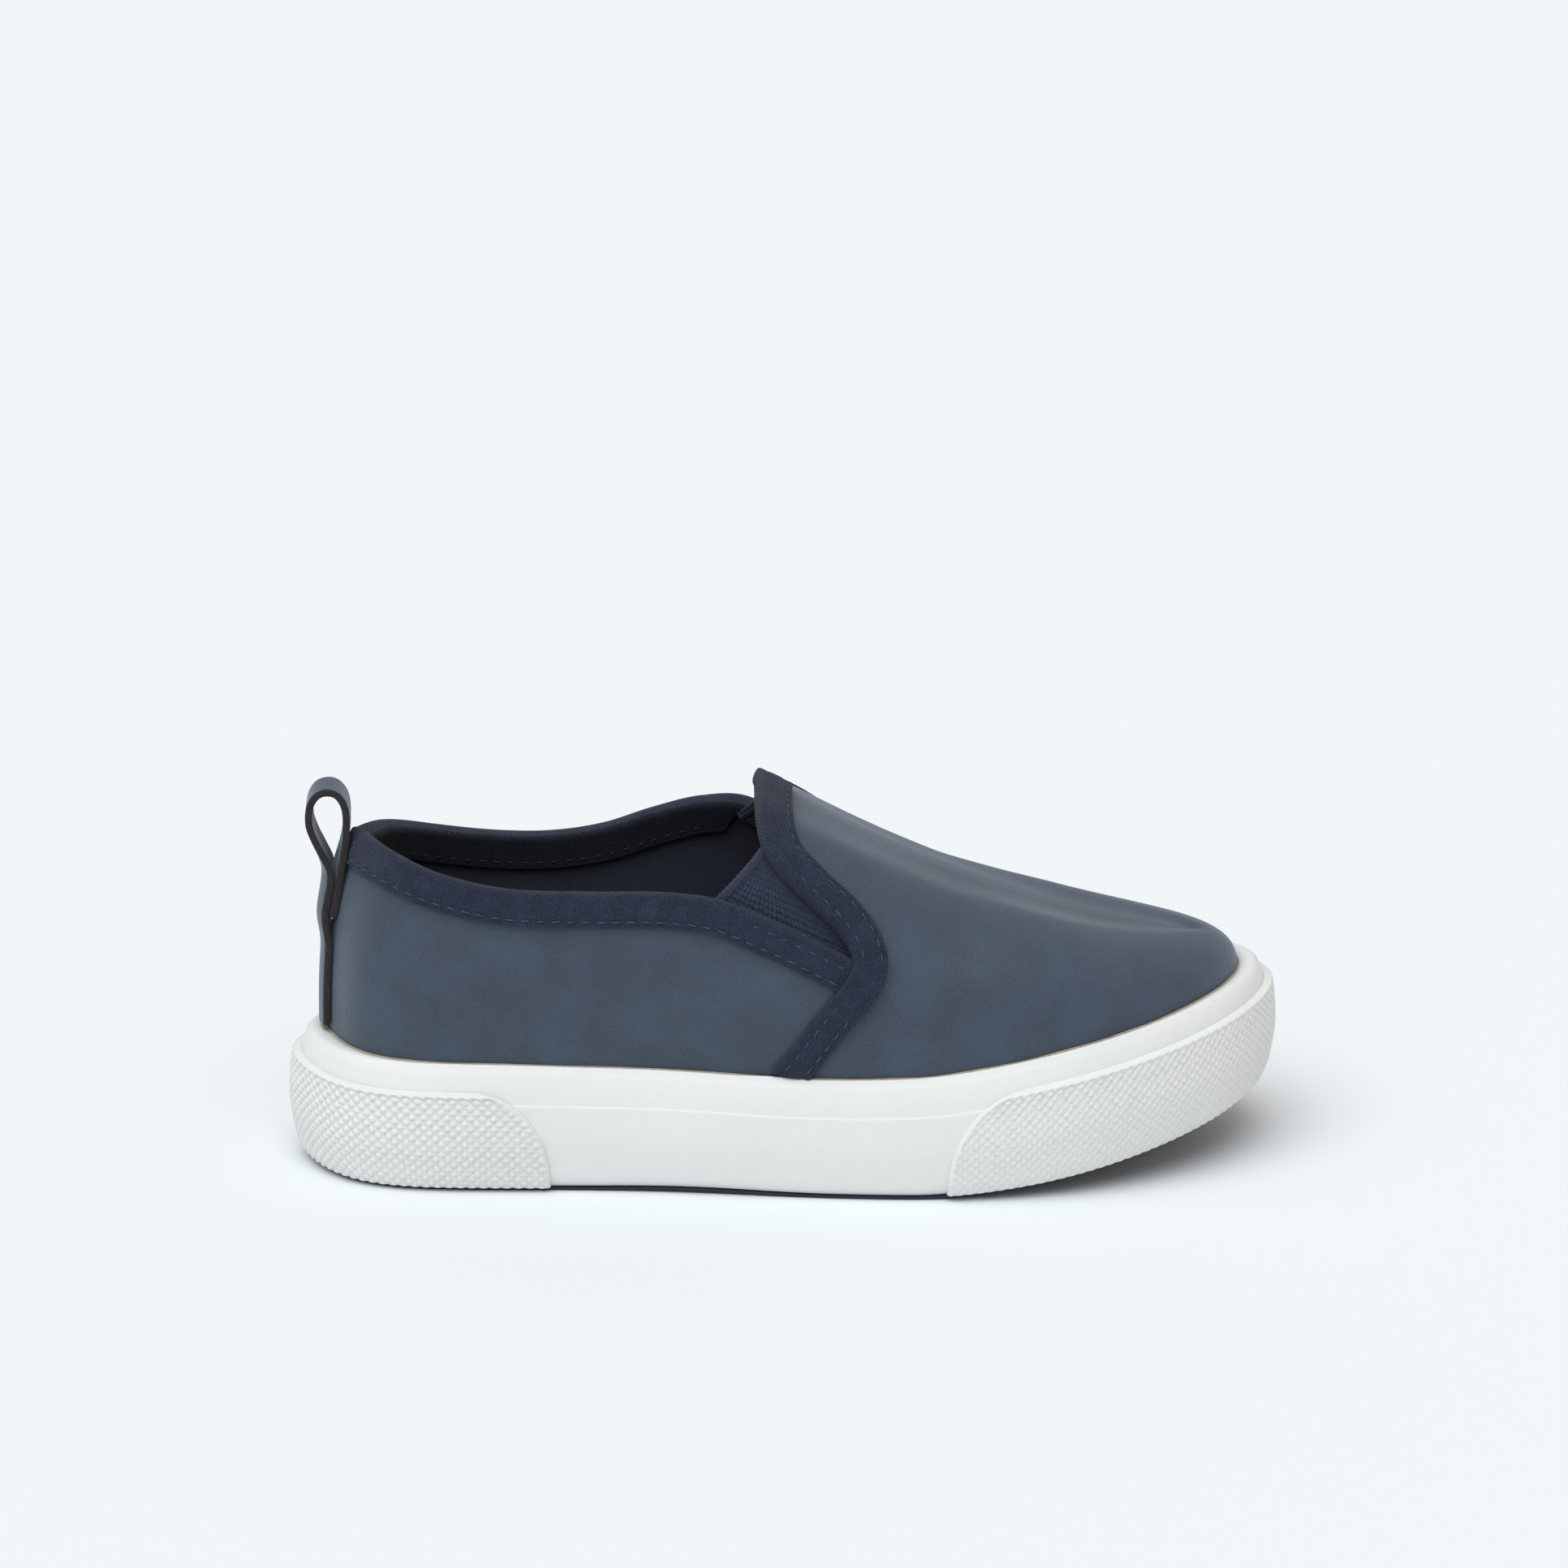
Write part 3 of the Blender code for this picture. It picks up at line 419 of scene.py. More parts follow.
sole_curve = closed_curve(both_sides(sole_rows("lateral", -1), sole_rows("medial", 1)))
crest_curve = closed_curve(both_sides(crest_rows("l"), crest_rows("m")))
ridge = open_curve(
    [c.along * SOLE_LENGTH for c in CRESTS] + [SOLE_LENGTH],
    [c.height * INSTEP_HEIGHT for c in CRESTS] + [RIDGE_AT_TOE * INSTEP_HEIGHT])
quarter_height = {
    side: open_curve([e.along * SOLE_LENGTH for e in rows], [e.height * COLLAR_HEIGHT for e in rows])
    for side, rows in QUARTER_EDGE.items()
}
vamp_along = {
    side: open_curve([e.height * INSTEP_HEIGHT for e in rows], [e.along * SOLE_LENGTH for e in rows])
    for side, rows in VAMP_EDGE.items()
}
foxing_tuck = open_curve([f.height for f in FOXING_FACE], [f.tuck * FOXING_TUCK for f in FOXING_FACE])


# The sole's plan and the last

def lift(along):
    """How far the sole's underside is off the floor: toe spring, heel lift and arch."""
    share = along / SOLE_LENGTH
    toe = np.clip((share - TOE_ROCKER) / (1 - TOE_ROCKER), 0, None)
    heel = np.clip((HEEL_ROCKER - share) / HEEL_ROCKER, 0, None)
    arch = np.clip((share - ARCH_START) / ARCH_LENGTH, 0, 1)
    return TOE_SPRING * toe**1.6 + HEEL_LIFT * heel**2 + ARCH_RISE * np.sin(math.pi * arch) ** 2


def outline(place, out=0.0):
    """Plan points of the foxing's widest line, moved out by a distance, and the outward direction."""
    place = np.asarray(place, float)
    step = 0.001
    point = sole_curve(place)[..., :2]
    ahead = sole_curve(place + step)[..., :2] - sole_curve(place - step)[..., :2]
    outward = unit(np.stack([ahead[..., 1], -ahead[..., 0]], -1))
    return point + np.asarray(out)[..., None] * outward, outward


def sole_point(place, out, height):
    """A point of the sole: out from the outline and up from the underside."""
    plan, _ = outline(place, out)
    return np.concatenate([plan, (height + lift(plan[..., 0]))[..., None]], -1)


def feather_inset(place):
    return sole_curve(place)[..., 2]


def foxing_height(place):
    return sole_curve(place)[..., 3]


def last(place, turn):
    """The outside of the upper. turn is 0 at the feather line and 1 at the crest."""
    place, turn = np.broadcast_arrays(np.asarray(place, float), np.asarray(turn, float))
    foot, outward = outline(place, -(feather_inset(place) + GAP))
    crest_along, crest_height, full, splay = np.moveaxis(crest_curve(place), -1, 0)
    angle = np.clip(turn, 0, 1) * math.pi / 2
    inward = 1 - np.clip(np.cos(angle), 0, 1) ** (2 / full)
    up = np.sin(angle) ** (2 / full)
    lean = splay * up * (1 - inward)
    bottom = foxing_height(place) + lift(foot[..., 0])
    along = foot[..., 0] + (crest_along - foot[..., 0]) * inward + outward[..., 0] * lean
    ridge_from, ridge_over = 0.70, 0.25
    near_crest = ease((turn - ridge_from) / ridge_over)
    crest_height = crest_height + near_crest * (ridge(along) - ridge(crest_along))
    return np.stack([
        along,
        foot[..., 1] + (CREST_SIDE - foot[..., 1]) * inward + outward[..., 1] * lean,
        bottom + (crest_height - bottom) * up,
    ], -1)


def last_frame(place, turn):
    """The last's point, its two slopes and its outward direction."""
    step = 0.002
    near = np.clip(turn, step, 0.99)
    ahead = last(place + step, near) - last(place - step, near)
    up = last(place, near + step) - last(place, near - step)
    return last(place, turn), ahead / (2 * step), up / (2 * step), unit(np.cross(ahead, up))


def off_last(place, turn, out):
    point, _, _, outward = last_frame(place, turn)
    return point + np.asarray(out)[..., None] * outward


def walk(place, turn, direction, distance):
    """Walk a distance over the last from each place and turn, along a direction in space."""
    steps = 4
    for _ in range(steps):
        _, ahead, up, _ = last_frame(place, turn)
        aa, au, uu = (np.sum(p * q, -1) for p, q in ((ahead, ahead), (ahead, up), (up, up)))
        da, du = np.sum(direction * ahead, -1), np.sum(direction * up, -1)
        scale = distance / steps / (aa * uu - au**2)
        place = place + scale * (da * uu - du * au)
        turn = np.clip(turn + scale * (du * aa - da * au), 0, 1)
    return place, turn


def bisect(low, high, is_low):
    """The value, between low and high, at which is_low stops being true."""
    for _ in range(30):
        middle = (low + high) / 2
        below = is_low(middle)
        low = np.where(below, middle, low)
        high = np.where(below, high, middle)
    return (low + high) / 2


def quarter_edge(place):
    """The turn at which the quarter's top edge crosses each place."""
    def below(turn):
        point = last(place, turn)
        along = point[..., 0]
        edge = np.where(place >= 0, quarter_height["lateral"](along), quarter_height["medial"](along))
        return point[..., 2] < edge
    return bisect(np.zeros_like(place), np.ones_like(place), below)


def vamp_edge(side, turn):
    """The place at which the vamp's rear edge crosses each turn. Both sides meet on the crest."""
    def crossing(which, turns):
        def behind(way):
            point = last(WAY_ROUND[which] * way, turns)
            return point[..., 0] < vamp_along[which](point[..., 2])
        return bisect(np.full_like(turns, 3.0), np.full_like(turns, 10.0), behind)
    way = np.where(turn < 1, crossing(side, turn), crossing("lateral", turn))
    return WAY_ROUND[side] * way


def notch_foot(side):
    """The point (along, height) where the quarter's edge and the vamp's edge meet."""
    def before(along):
        return along < vamp_along[side](quarter_height[side](along))
    along = bisect(0.45 * SOLE_LENGTH, 0.62 * SOLE_LENGTH, before)
    return np.array([float(along), float(quarter_height[side](along))])


def place_on_last(side, along, height):
    """The place and turn of a point given by its side view."""
    sign = WAY_ROUND[side]

    def turn_at(way):
        place = sign * way
        foot, _ = outline(place, -(feather_inset(place) + GAP))
        bottom = foxing_height(place) + lift(foot[..., 0])
        _, crest_height, full, _ = np.moveaxis(crest_curve(place), -1, 0)
        up = np.clip((height - bottom) / (crest_height - bottom), 0, 1)
        return np.arcsin(up ** (full / 2)) * 2 / math.pi

    def behind(way):
        return last(sign * way, turn_at(way))[..., 0] < along
    rear, front = (np.full_like(along, place) for place in SEARCHED_PLACES)
    way = bisect(rear, front, behind)
    return sign * way, turn_at(way)


def side_places(heel, waist, toe):
    """Places along one side, with a count for each stretch."""
    return np.concatenate([
        np.linspace(0, 3, heel, endpoint=False),
        np.linspace(3, 9, waist, endpoint=False),
        np.linspace(9, LAST_STATION, toe),
    ])


def loop_places(heel, waist, toe):
    side = side_places(heel, waist, toe)
    return np.concatenate([side, ROUND_TRIP - side[-2:0:-1]])


def row_shift():
    """From this file's heel-to-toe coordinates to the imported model's, by the outsole's box."""
    low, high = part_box("outsole")
    plan, _ = outline(loop_places(8, 14, 11), -OUTSOLE_LIP_INSET)
    middle = (plan.min(0) + plan.max(0)) / 2
    return np.array([(low[0] + high[0]) / 2 - middle[0], (low[1] + high[1]) / 2 - middle[1], 0.0])


SHIFT = row_shift()


# Meshes

def grid_faces(rows, columns, wrap_rows=False, wrap_columns=False):
    """Quads of a grid whose points are numbered row by row."""
    i = np.arange(rows if wrap_rows else rows - 1)[:, None]
    j = np.arange(columns if wrap_columns else columns - 1)[None, :]
    i2 = (i + 1) % rows
    j2 = (j + 1) % columns
    corners = (i * columns + j, i2 * columns + j, i2 * columns + j2, i * columns + j2)
    return np.stack(np.broadcast_arrays(*corners), -1).reshape(-1, 4).tolist()


def grid_lengths(points):
    """Lengths in millimetres along the rows and columns of a grid, for the weave to follow."""
    along = np.linalg.norm(np.diff(points, axis=0), axis=2).mean(1)
    across = np.linalg.norm(np.diff(points, axis=1), axis=2).mean(0)
    u = np.concatenate([[0], np.cumsum(along)]) / MM
    v = np.concatenate([[0], np.cumsum(across)]) / MM
    return np.stack(np.broadcast_arrays(u[:, None], v[None, :]), -1).reshape(-1, 2)


def make_piece(name, points, faces, finishes, lengths=None, which=None, weld=0.0, sharp=None):
    """An object of the shoe, from points in heel-to-toe coordinates, riding on the shoe's body.

    finishes names its materials, and which gives each face's place among them.
    """
    data = bpy.data.meshes.new(name)
    data.from_pydata((np.asarray(points) + SHIFT).tolist(), [], faces)
    if lengths is not None:
        corner = np.empty(len(data.loops), int)
        data.loops.foreach_get("vertex_index", corner)
        data.uv_layers.new(name="lengths").data.foreach_set("uv", lengths[corner].ravel())
    if which is not None:
        data.polygons.foreach_set("material_index", which)
    shape = bmesh.new()
    shape.from_mesh(data)
    if weld:
        bmesh.ops.remove_doubles(shape, verts=shape.verts[:], dist=weld)
    bmesh.ops.recalc_face_normals(shape, faces=shape.faces[:])
    shape.to_mesh(data)
    shape.free()
    for finish in finishes:
        data.materials.append(bpy.data.materials[finish])
    data.shade_smooth()
    if sharp:
        data.set_sharp_from_angle(angle=math.radians(sharp))
    piece = bpy.data.objects.new(name, data)
    bpy.context.scene.collection.objects.link(piece)
    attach(piece, "root")
    return piece


def sweep(name, sections, finish, closed=False, sharp=None):
    """A solid through sections of equal point count: a ring when closed, else with two end caps."""
    sections = np.asarray(sections)
    rows, columns = sections.shape[:2]
    faces = grid_faces(rows, columns, wrap_rows=closed, wrap_columns=True)
    if not closed:
        faces.append(list(range(columns)))
        faces.append([(rows - 1) * columns + j for j in range(columns)])
    return make_piece(name, sections.reshape(-1, 3), faces, [finish], grid_lengths(sections), sharp=sharp)


def slab(name, inner, outer, finish, sharp=None):
    """A solid between two grids of points of the same size."""
    rows, columns = inner.shape[:2]
    count = rows * columns
    faces = grid_faces(rows, columns)
    faces += [[count + i for i in face] for face in faces]
    rim = list(range(columns))
    rim += [i * columns + columns - 1 for i in range(1, rows)]
    rim += [(rows - 1) * columns + j for j in range(columns - 2, -1, -1)]
    rim += [i * columns for i in range(rows - 2, 0, -1)]
    for a, b in zip(rim, rim[1:] + rim[:1]):
        faces.append([a, b, b + count, a + count])
    points = np.concatenate([inner.reshape(-1, 3), outer.reshape(-1, 3)])
    lengths = np.concatenate([grid_lengths(inner), grid_lengths(outer)])
    return make_piece(name, points, faces, [finish], lengths, sharp=sharp)


def plan_caps(rows, count):
    """Faces that close the first and last of the loops round the sole, in strips across it."""
    caps = []
    for base in (0, (rows - 1) * count):
        for k in range(count // 2):
            strip = [base + k, base + k + 1, base + (count - k - 1) % count, base + (count - k) % count]
            caps.append(list(dict.fromkeys(strip)))
    return caps


def ripple(points, size, seed=0.0):
    """A smooth uneven value between -1 and 1 over space, for things made by hand."""
    x, y, z = (points[..., k] / size + seed for k in range(3))
    return (
        np.sin(1.7 * x + 1.3 * np.sin(1.1 * y + z)) + np.sin(2.3 * y - 0.9 * np.sin(1.6 * z + x))
        + np.sin(1.9 * z + 1.1 * np.sin(1.4 * x - y))
    ) / 3


# Shader groups

def new_group(name, inputs, outputs):
    """An empty node group with its named sockets, and its input and output nodes."""
    group = bpy.data.node_groups.new(name, "ShaderNodeTree")
    for label, kind, default in inputs:
        socket = group.interface.new_socket(name=label, in_out="INPUT", socket_type=kind)
        socket.default_value = default
    for label, kind in outputs:
        group.interface.new_socket(name=label, in_out="OUTPUT", socket_type=kind)
    return group, group.nodes.new("NodeGroupInput"), group.nodes.new("NodeGroupOutput")


def connect(tree, source, target):
    tree.links.new(source, target)


def maths(tree, operation, first, second=None, clamp=False):
    """A Math node fed by sockets or numbers, and its output."""
    node = tree.nodes.new("ShaderNodeMath")
    node.operation = operation
    node.use_clamp = clamp
    for slot, value in enumerate((first, second)):
        if value is None:
            continue
        if isinstance(value, (int, float)):
            node.inputs[slot].default_value = value
        else:
            connect(tree, value, node.inputs[slot])
    return node.outputs[0]


def noise(tree, where, scale, detail=3.0, rough=0.55):
    node = tree.nodes.new("ShaderNodeTexNoise")
    node.inputs["Scale"].default_value = scale
    node.inputs["Detail"].default_value = detail
    node.inputs["Roughness"].default_value = rough
    connect(tree, where, node.inputs["Vector"])
    return node.outputs["Fac"]


def spread(tree, value, low, high, to_low, to_high):
    node = tree.nodes.new("ShaderNodeMapRange")
    node.inputs["From Min"].default_value = low
    node.inputs["From Max"].default_value = high
    node.inputs["To Min"].default_value = to_low
    node.inputs["To Max"].default_value = to_high
    connect(tree, value, node.inputs["Value"])
    return node.outputs["Result"]


def scaled_colour(tree, colour, factor):
    tint = tree.nodes.new("ShaderNodeVectorMath")
    tint.operation = "SCALE"
    connect(tree, colour, tint.inputs[0])
    connect(tree, factor, tint.inputs["Scale"])
    return tint.outputs[0]


def shade_group():
    """Uneven colour: a tint darker and lighter than a colour, by patches of two sizes."""
    group, given, out = new_group(
        "uneven_colour",
        (("Colour", "NodeSocketColor", (0.5, 0.5, 0.5, 1)), ("Amount", "NodeSocketFloat", 0.1),
         ("Patch", "NodeSocketFloat", 120.0), ("Fleck", "NodeSocketFloat", 900.0)),
        (("Colour", "NodeSocketColor"), ("Patchiness", "NodeSocketFloat")))
    where = group.nodes.new("ShaderNodeTexCoord").outputs["Object"]
    patch = noise(group, where, 120.0)
    fleck = noise(group, where, 900.0)
    connect(group, given.outputs["Patch"], patch.node.inputs["Scale"])
    connect(group, given.outputs["Fleck"], fleck.node.inputs["Scale"])
    both = maths(group, "ADD", patch, fleck)
    centred = maths(group, "SUBTRACT", both, 1.0)
    swing = maths(group, "MULTIPLY", centred, given.outputs["Amount"])
    factor = maths(group, "ADD", maths(group, "MULTIPLY", swing, 4.0), 1.0)
    connect(group, scaled_colour(group, given.outputs["Colour"], factor), out.inputs["Colour"])
    connect(group, patch, out.inputs["Patchiness"])
    return group


def grain_group():
    """The height of a fine leather grain: small rounded cells with creases between them."""
    group, given, out = new_group(
        "leather_grain",
        (("Cell", "NodeSocketFloat", 1500.0),),
        (("Height", "NodeSocketFloat"),))
    where = group.nodes.new("ShaderNodeTexCoord").outputs["Object"]
    cells = group.nodes.new("ShaderNodeTexVoronoi")
    cells.feature = "F1"
    connect(group, where, cells.inputs["Vector"])
    connect(group, given.outputs["Cell"], cells.inputs["Scale"])
    pits = noise(group, where, 2600.0, 2.0)
    swells = noise(group, where, 420.0, 2.0)
    domes = maths(group, "MULTIPLY", cells.outputs["Distance"], -0.8)
    fine = maths(group, "ADD", domes, pits)
    height = maths(group, "ADD", fine, maths(group, "MULTIPLY", swells, 1.2))
    connect(group, height, out.inputs["Height"])
    return group


def weave_group():
    """The height of a plain weave, along the lengths stored with the mesh, and a colour factor from it:
    painted shade in the gaps and painted highlight on the crowns.
    """
    group, given, out = new_group(
        "plain_weave",
        (("Pitch", "NodeSocketFloat", 0.4),),
        (("Height", "NodeSocketFloat"), ("Painted shade", "NodeSocketFloat")))
    lengths = group.nodes.new("ShaderNodeUVMap")
    lengths.uv_map = "lengths"
    parts = group.nodes.new("ShaderNodeSeparateXYZ")
    connect(group, lengths.outputs[0], parts.inputs[0])
    wobble = noise(group, lengths.outputs[0], 1.6, 3.0)
    drift = maths(group, "MULTIPLY", wobble, 0.7)
    threads = []
    for axis in ("X", "Y"):
        drifted = maths(group, "ADD", parts.outputs[axis], drift)
        count = maths(group, "DIVIDE", drifted, given.outputs["Pitch"])
        hump = maths(group, "ABSOLUTE", maths(group, "SINE", maths(group, "MULTIPLY", count, math.pi)))
        threads.append((hump, maths(group, "FLOOR", count)))
    (warp, warp_row), (weft, weft_row) = threads
    over = maths(group, "FLOORED_MODULO", maths(group, "ADD", warp_row, weft_row), 2.0)
    under = maths(group, "SUBTRACT", 1.0, over)
    warp_shown = maths(group, "MULTIPLY", warp, over)
    height = maths(group, "ADD", warp_shown, maths(group, "MULTIPLY", weft, under))
    connect(group, height, out.inputs["Height"])
    # Colour factor from the height: painted shade in the gaps between threads, painted highlight on their
    # crowns.
    connect(group, spread(group, height, 0.1, 1.0, 0.40, 1.30), out.inputs["Painted shade"])
    return group


# Materials

def start_material(name, roughness, specular=0.5, sheen=0.0):
    """A Principled material with its constant values set, and its tree and shader."""
    made = bpy.data.materials.new(name)
    made.use_nodes = True
    tree = made.node_tree
    shader = tree.nodes["Principled BSDF"]
    shader.inputs["Roughness"].default_value = roughness
    shader.inputs["Specular IOR Level"].default_value = specular
    shader.inputs["Sheen Weight"].default_value = sheen
    shader.inputs["Sheen Roughness"].default_value = 0.45
    return made, tree, shader


def use_group(tree, group, **values):
    node = tree.nodes.new("ShaderNodeGroup")
    node.node_tree = group
    for label, value in values.items():
        node.inputs[label].default_value = value
    return node


def bump(tree, shader, height, distance, strength=1.0):
    node = tree.nodes.new("ShaderNodeBump")
    node.inputs["Distance"].default_value = distance
    node.inputs["Strength"].default_value = strength
    connect(tree, height, node.inputs["Height"])
    connect(tree, node.outputs["Normal"], shader.inputs["Normal"])
    return node


def rgba(colour):
    return (*colour, 1.0)


def shaded(tree, groups, colour, amount, patch, fleck):
    """A node of the uneven colour, with the share of its swing and the scales of its patches."""
    return use_group(
        tree, groups["uneven_colour"], Colour=rgba(colour), Amount=amount, Patch=patch, Fleck=fleck)


def leather_material(groups, colour):
    """Soft brushed leather: fine grain, uneven colour and a cool sheen."""
    _, tree, shader = start_material("nubuck_leather", 0.58, 0.30, 0.34)
    shade = shaded(tree, groups, colour, 0.16, 100.0, 2400.0)
    grain = use_group(tree, groups["leather_grain"], Cell=2600.0)
    connect(tree, shade.outputs["Colour"], shader.inputs["Base Color"])
    rough = spread(tree, shade.outputs["Patchiness"], 0.3, 0.7, 0.52, 0.62)
    connect(tree, rough, shader.inputs["Roughness"])
    shader.inputs["Sheen Tint"].default_value = LEATHER_SHEEN
    bump(tree, shader, grain.outputs["Height"], 0.00007, 0.7)


def woven_material(groups, name, colour, pitch, look, amount, fleck):
    """Woven tape or elastic. pitch is in millimetres, and look is its roughness, specular and sheen."""
    _, tree, shader = start_material(name, *look)
    shade = shaded(tree, groups, colour, amount, 300.0, fleck)
    weave = use_group(tree, groups["plain_weave"], Pitch=pitch)
    # The colour is darkened in the weave's gaps and lightened on its crowns: painted shade and painted
    # highlight.
    colour_out = scaled_colour(tree, shade.outputs["Colour"], weave.outputs["Painted shade"])
    connect(tree, colour_out, shader.inputs["Base Color"])
    bump(tree, shader, weave.outputs["Height"], 0.00016, 0.9)


def canvas_material(groups, name, colour, make):
    woven_material(groups, name, colour, make.weave / MM, (0.90, 0.20, 0.10), 0.24, 2400.0)


def elastic_material(groups, colour):
    woven_material(groups, "ribbed_elastic", colour, ELASTIC_PITCH, (0.80, 0.25, 0.12), 0.08, 2000.0)


def lining_material(groups, colour):
    """Dark matt cloth with a fine nap."""
    _, tree, shader = start_material("lining_cloth", 0.95, 0.15, 0.2)
    shade = shaded(tree, groups, colour, 0.12, 90.0, 1300.0)
    connect(tree, shade.outputs["Colour"], shader.inputs["Base Color"])
    where = tree.nodes.new("ShaderNodeTexCoord").outputs["Object"]
    bump(tree, shader, noise(tree, where, 1900.0, 2.0), 0.00015, 0.6)


def rubber_material(groups, name, colour, roughness, soil=0.0):
    """Moulded rubber. soil is how strongly a warm dust shows in its patches."""
    _, tree, shader = start_material(name, roughness, 0.45)
    shade = shaded(tree, groups, colour, 0.012, 60.0, 500.0)
    colour_out = shade.outputs["Colour"]
    where = tree.nodes.new("ShaderNodeTexCoord").outputs["Object"]
    if soil:
        specks = noise(tree, where, 330.0, 6.0, 0.75)
        mask = spread(tree, specks, 0.66, 0.80, 0.0, soil)
        mix = tree.nodes.new("ShaderNodeMix")
        mix.data_type = "RGBA"
        mix.inputs["B"].default_value = DUST
        connect(tree, mask, mix.inputs["Factor"])
        connect(tree, colour_out, mix.inputs["A"])
        colour_out = mix.outputs["Result"]
    connect(tree, colour_out, shader.inputs["Base Color"])
    rough = spread(tree, shade.outputs["Patchiness"], 0.3, 0.7, roughness - 0.05, roughness + 0.06)
    connect(tree, rough, shader.inputs["Roughness"])
    bump(tree, shader, noise(tree, where, 900.0, 3.0), 0.00004, 0.5)


def fibre_material(groups, name, colour, roughness):
    """Thread, cut fibres and cement: one colour with fine unevenness."""
    _, tree, shader = start_material(name, roughness, 0.3, 0.1)
    shade = shaded(tree, groups, colour, 0.15, 700.0, 3500.0)
    connect(tree, shade.outputs["Colour"], shader.inputs["Base Color"])
    where = tree.nodes.new("ShaderNodeTexCoord").outputs["Object"]
    bump(tree, shader, noise(tree, where, 4200.0, 2.0), 0.00012, 0.7)


def dimmed(colour, share):
    """A colour made darker, or lighter above 1."""
    return tuple(share * value for value in colour)


def mix_materials(finish, make):
    """Build the shader groups once, and each of the shoe's materials from them."""
    groups = {"uneven_colour": shade_group(), "leather_grain": grain_group(), "plain_weave": weave_group()}
    leather_material(groups, finish.leather)
    canvas_material(groups, "woven_tape", finish.canvas, make)
    # A darker copy of the tape for its inner leg inside the shoe: painted shade.
    canvas_material(groups, "painted_shade_tape", dimmed(finish.canvas, 0.32), make)
    elastic_material(groups, finish.elastic)
    lining_material(groups, finish.lining)
    rubber_material(groups, "foxing_rubber", finish.rubber, 0.48, 0.5)
    rubber_material(groups, "outsole_rubber", finish.outsole, 0.60)
    fibre_material(groups, "sewing_thread", finish.thread, 0.70)
    # A darker copy of the thread for stitches and the far selvedge inside the shoe: painted shade.
    fibre_material(groups, "painted_shade_thread", dimmed(finish.thread, 0.30), 0.70)
    fibre_material(groups, "edge_thread", dimmed(finish.canvas, 1.25), 0.80)
    fibre_material(groups, "cut_fibres", finish.raw_edge, 0.95)
    fibre_material(groups, "cement_bead", finish.cement, 0.60)


# Sole pieces

def foxing_base():
    return OUTSOLE_LIP + GAP


def foxing_side(place, share, out=0.0):
    """A point of the foxing's side at a share of its height, moved out from it."""
    base = foxing_base()
    height = base + share * (foxing_height(place) - base)
    return sole_point(place, out - foxing_tuck(share), height)


def place_at_reach(reach, sign, toe):
    """The place on one side that lies a distance along the sole from the heel or the toe."""
    along = SOLE_LENGTH - reach if toe else reach

    def behind(way):
        return sole_curve(sign * way)[..., 0] < along
    way = bisect(np.full_like(reach, 0.5), np.full_like(reach, LAST_STATION - 0.5), behind)
    return sign * way


def build_outsole():
    places = loop_places(40, 70, 50)
    lip_out = np.full_like(places, -OUTSOLE_LIP_INSET)
    body_out = -(feather_inset(places) + GAP)
    soften = 0.00015
    rows = (
        (lip_out - soften, 0.0), (lip_out, soften),
        (lip_out, OUTSOLE_LIP - soften), (lip_out - soften, OUTSOLE_LIP),
        (body_out, OUTSOLE_LIP), (body_out, OUTSOLE_THICKNESS),
    )
    loops = np.array([sole_point(places, out, height) for out, height in rows])
    faces = grid_faces(len(rows), len(places), wrap_columns=True) + plan_caps(len(rows), len(places))
    outsole = make_piece("outsole_dressed", loops.reshape(-1, 3), faces, ["outsole_rubber"], sharp=50)
    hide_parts("outsole")


def build_foxing():
    """The ring of white rubber: rounded top and foot, and the step where its outer strip ends."""
    places = loop_places(70, 130, 90)
    shares = np.concatenate([
        np.linspace(0, 0.12, 5, endpoint=False),
        np.linspace(0.12, STRIP_TOP - 0.02, 12, endpoint=False),
        np.linspace(STRIP_TOP - 0.02, STRIP_TOP + 0.03, 7, endpoint=False),
        np.linspace(STRIP_TOP + 0.03, 0.95, 9),
    ])
    swell = vamp_foot_swell(places)
    step_share, foot_share = 0.016, 0.05
    foot_tuck, unevenness, swell_out, swell_up = 0.0004, 0.00009, 0.0004, 0.0003
    patch = 0.016
    rows = []
    for share in shares:
        step = -FOXING_STRIP_STEP * ease((share - STRIP_TOP) / step_share)
        foot = -foot_tuck * ease(1 - share / foot_share)
        uneven = unevenness * ripple(foxing_side(places, share), patch)
        out = step + foot + uneven + swell_out * swell * share**4
        rows.append(foxing_side(places, share, out))
    lip = feather_inset(places) - FOXING_TUCK - FOXING_STRIP_STEP
    top = foxing_height(places) + swell_up * swell
    for inward, down in FOXING_LIP:
        out = -(FOXING_TUCK + FOXING_STRIP_STEP) - lip * inward
        rows.append(sole_point(places, out, top - down))
    rows.append(sole_point(places, -feather_inset(places), foxing_base()))
    foxing = sweep("foxing_dressed", np.swapaxes(rows, 0, 1), "foxing_rubber", closed=True, sharp=60)
    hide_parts("foxing")


def vamp_foot_swell(places):
    """1 where the foxing passes over the foot of the vamp's binding, fading out on both sides."""
    total = np.zeros_like(places)
    just_above = np.array([0.004])
    fade = 0.22
    for side in SIDES:
        foot = float(vamp_edge(side, just_above)[0]) % ROUND_TRIP
        along = np.abs((places - foot + LAST_STATION) % ROUND_TRIP - LAST_STATION)
        total += np.exp(-((along / fade) ** 2))
    return total


def outline_lengths():
    """Distance round the outline from the heel, as a table of places and lengths."""
    places = np.linspace(-LAST_STATION, ROUND_TRIP + LAST_STATION, 4000)
    plan, _ = outline(places)
    length = run_lengths(plan)
    return places, length - np.interp(0.0, places, length)


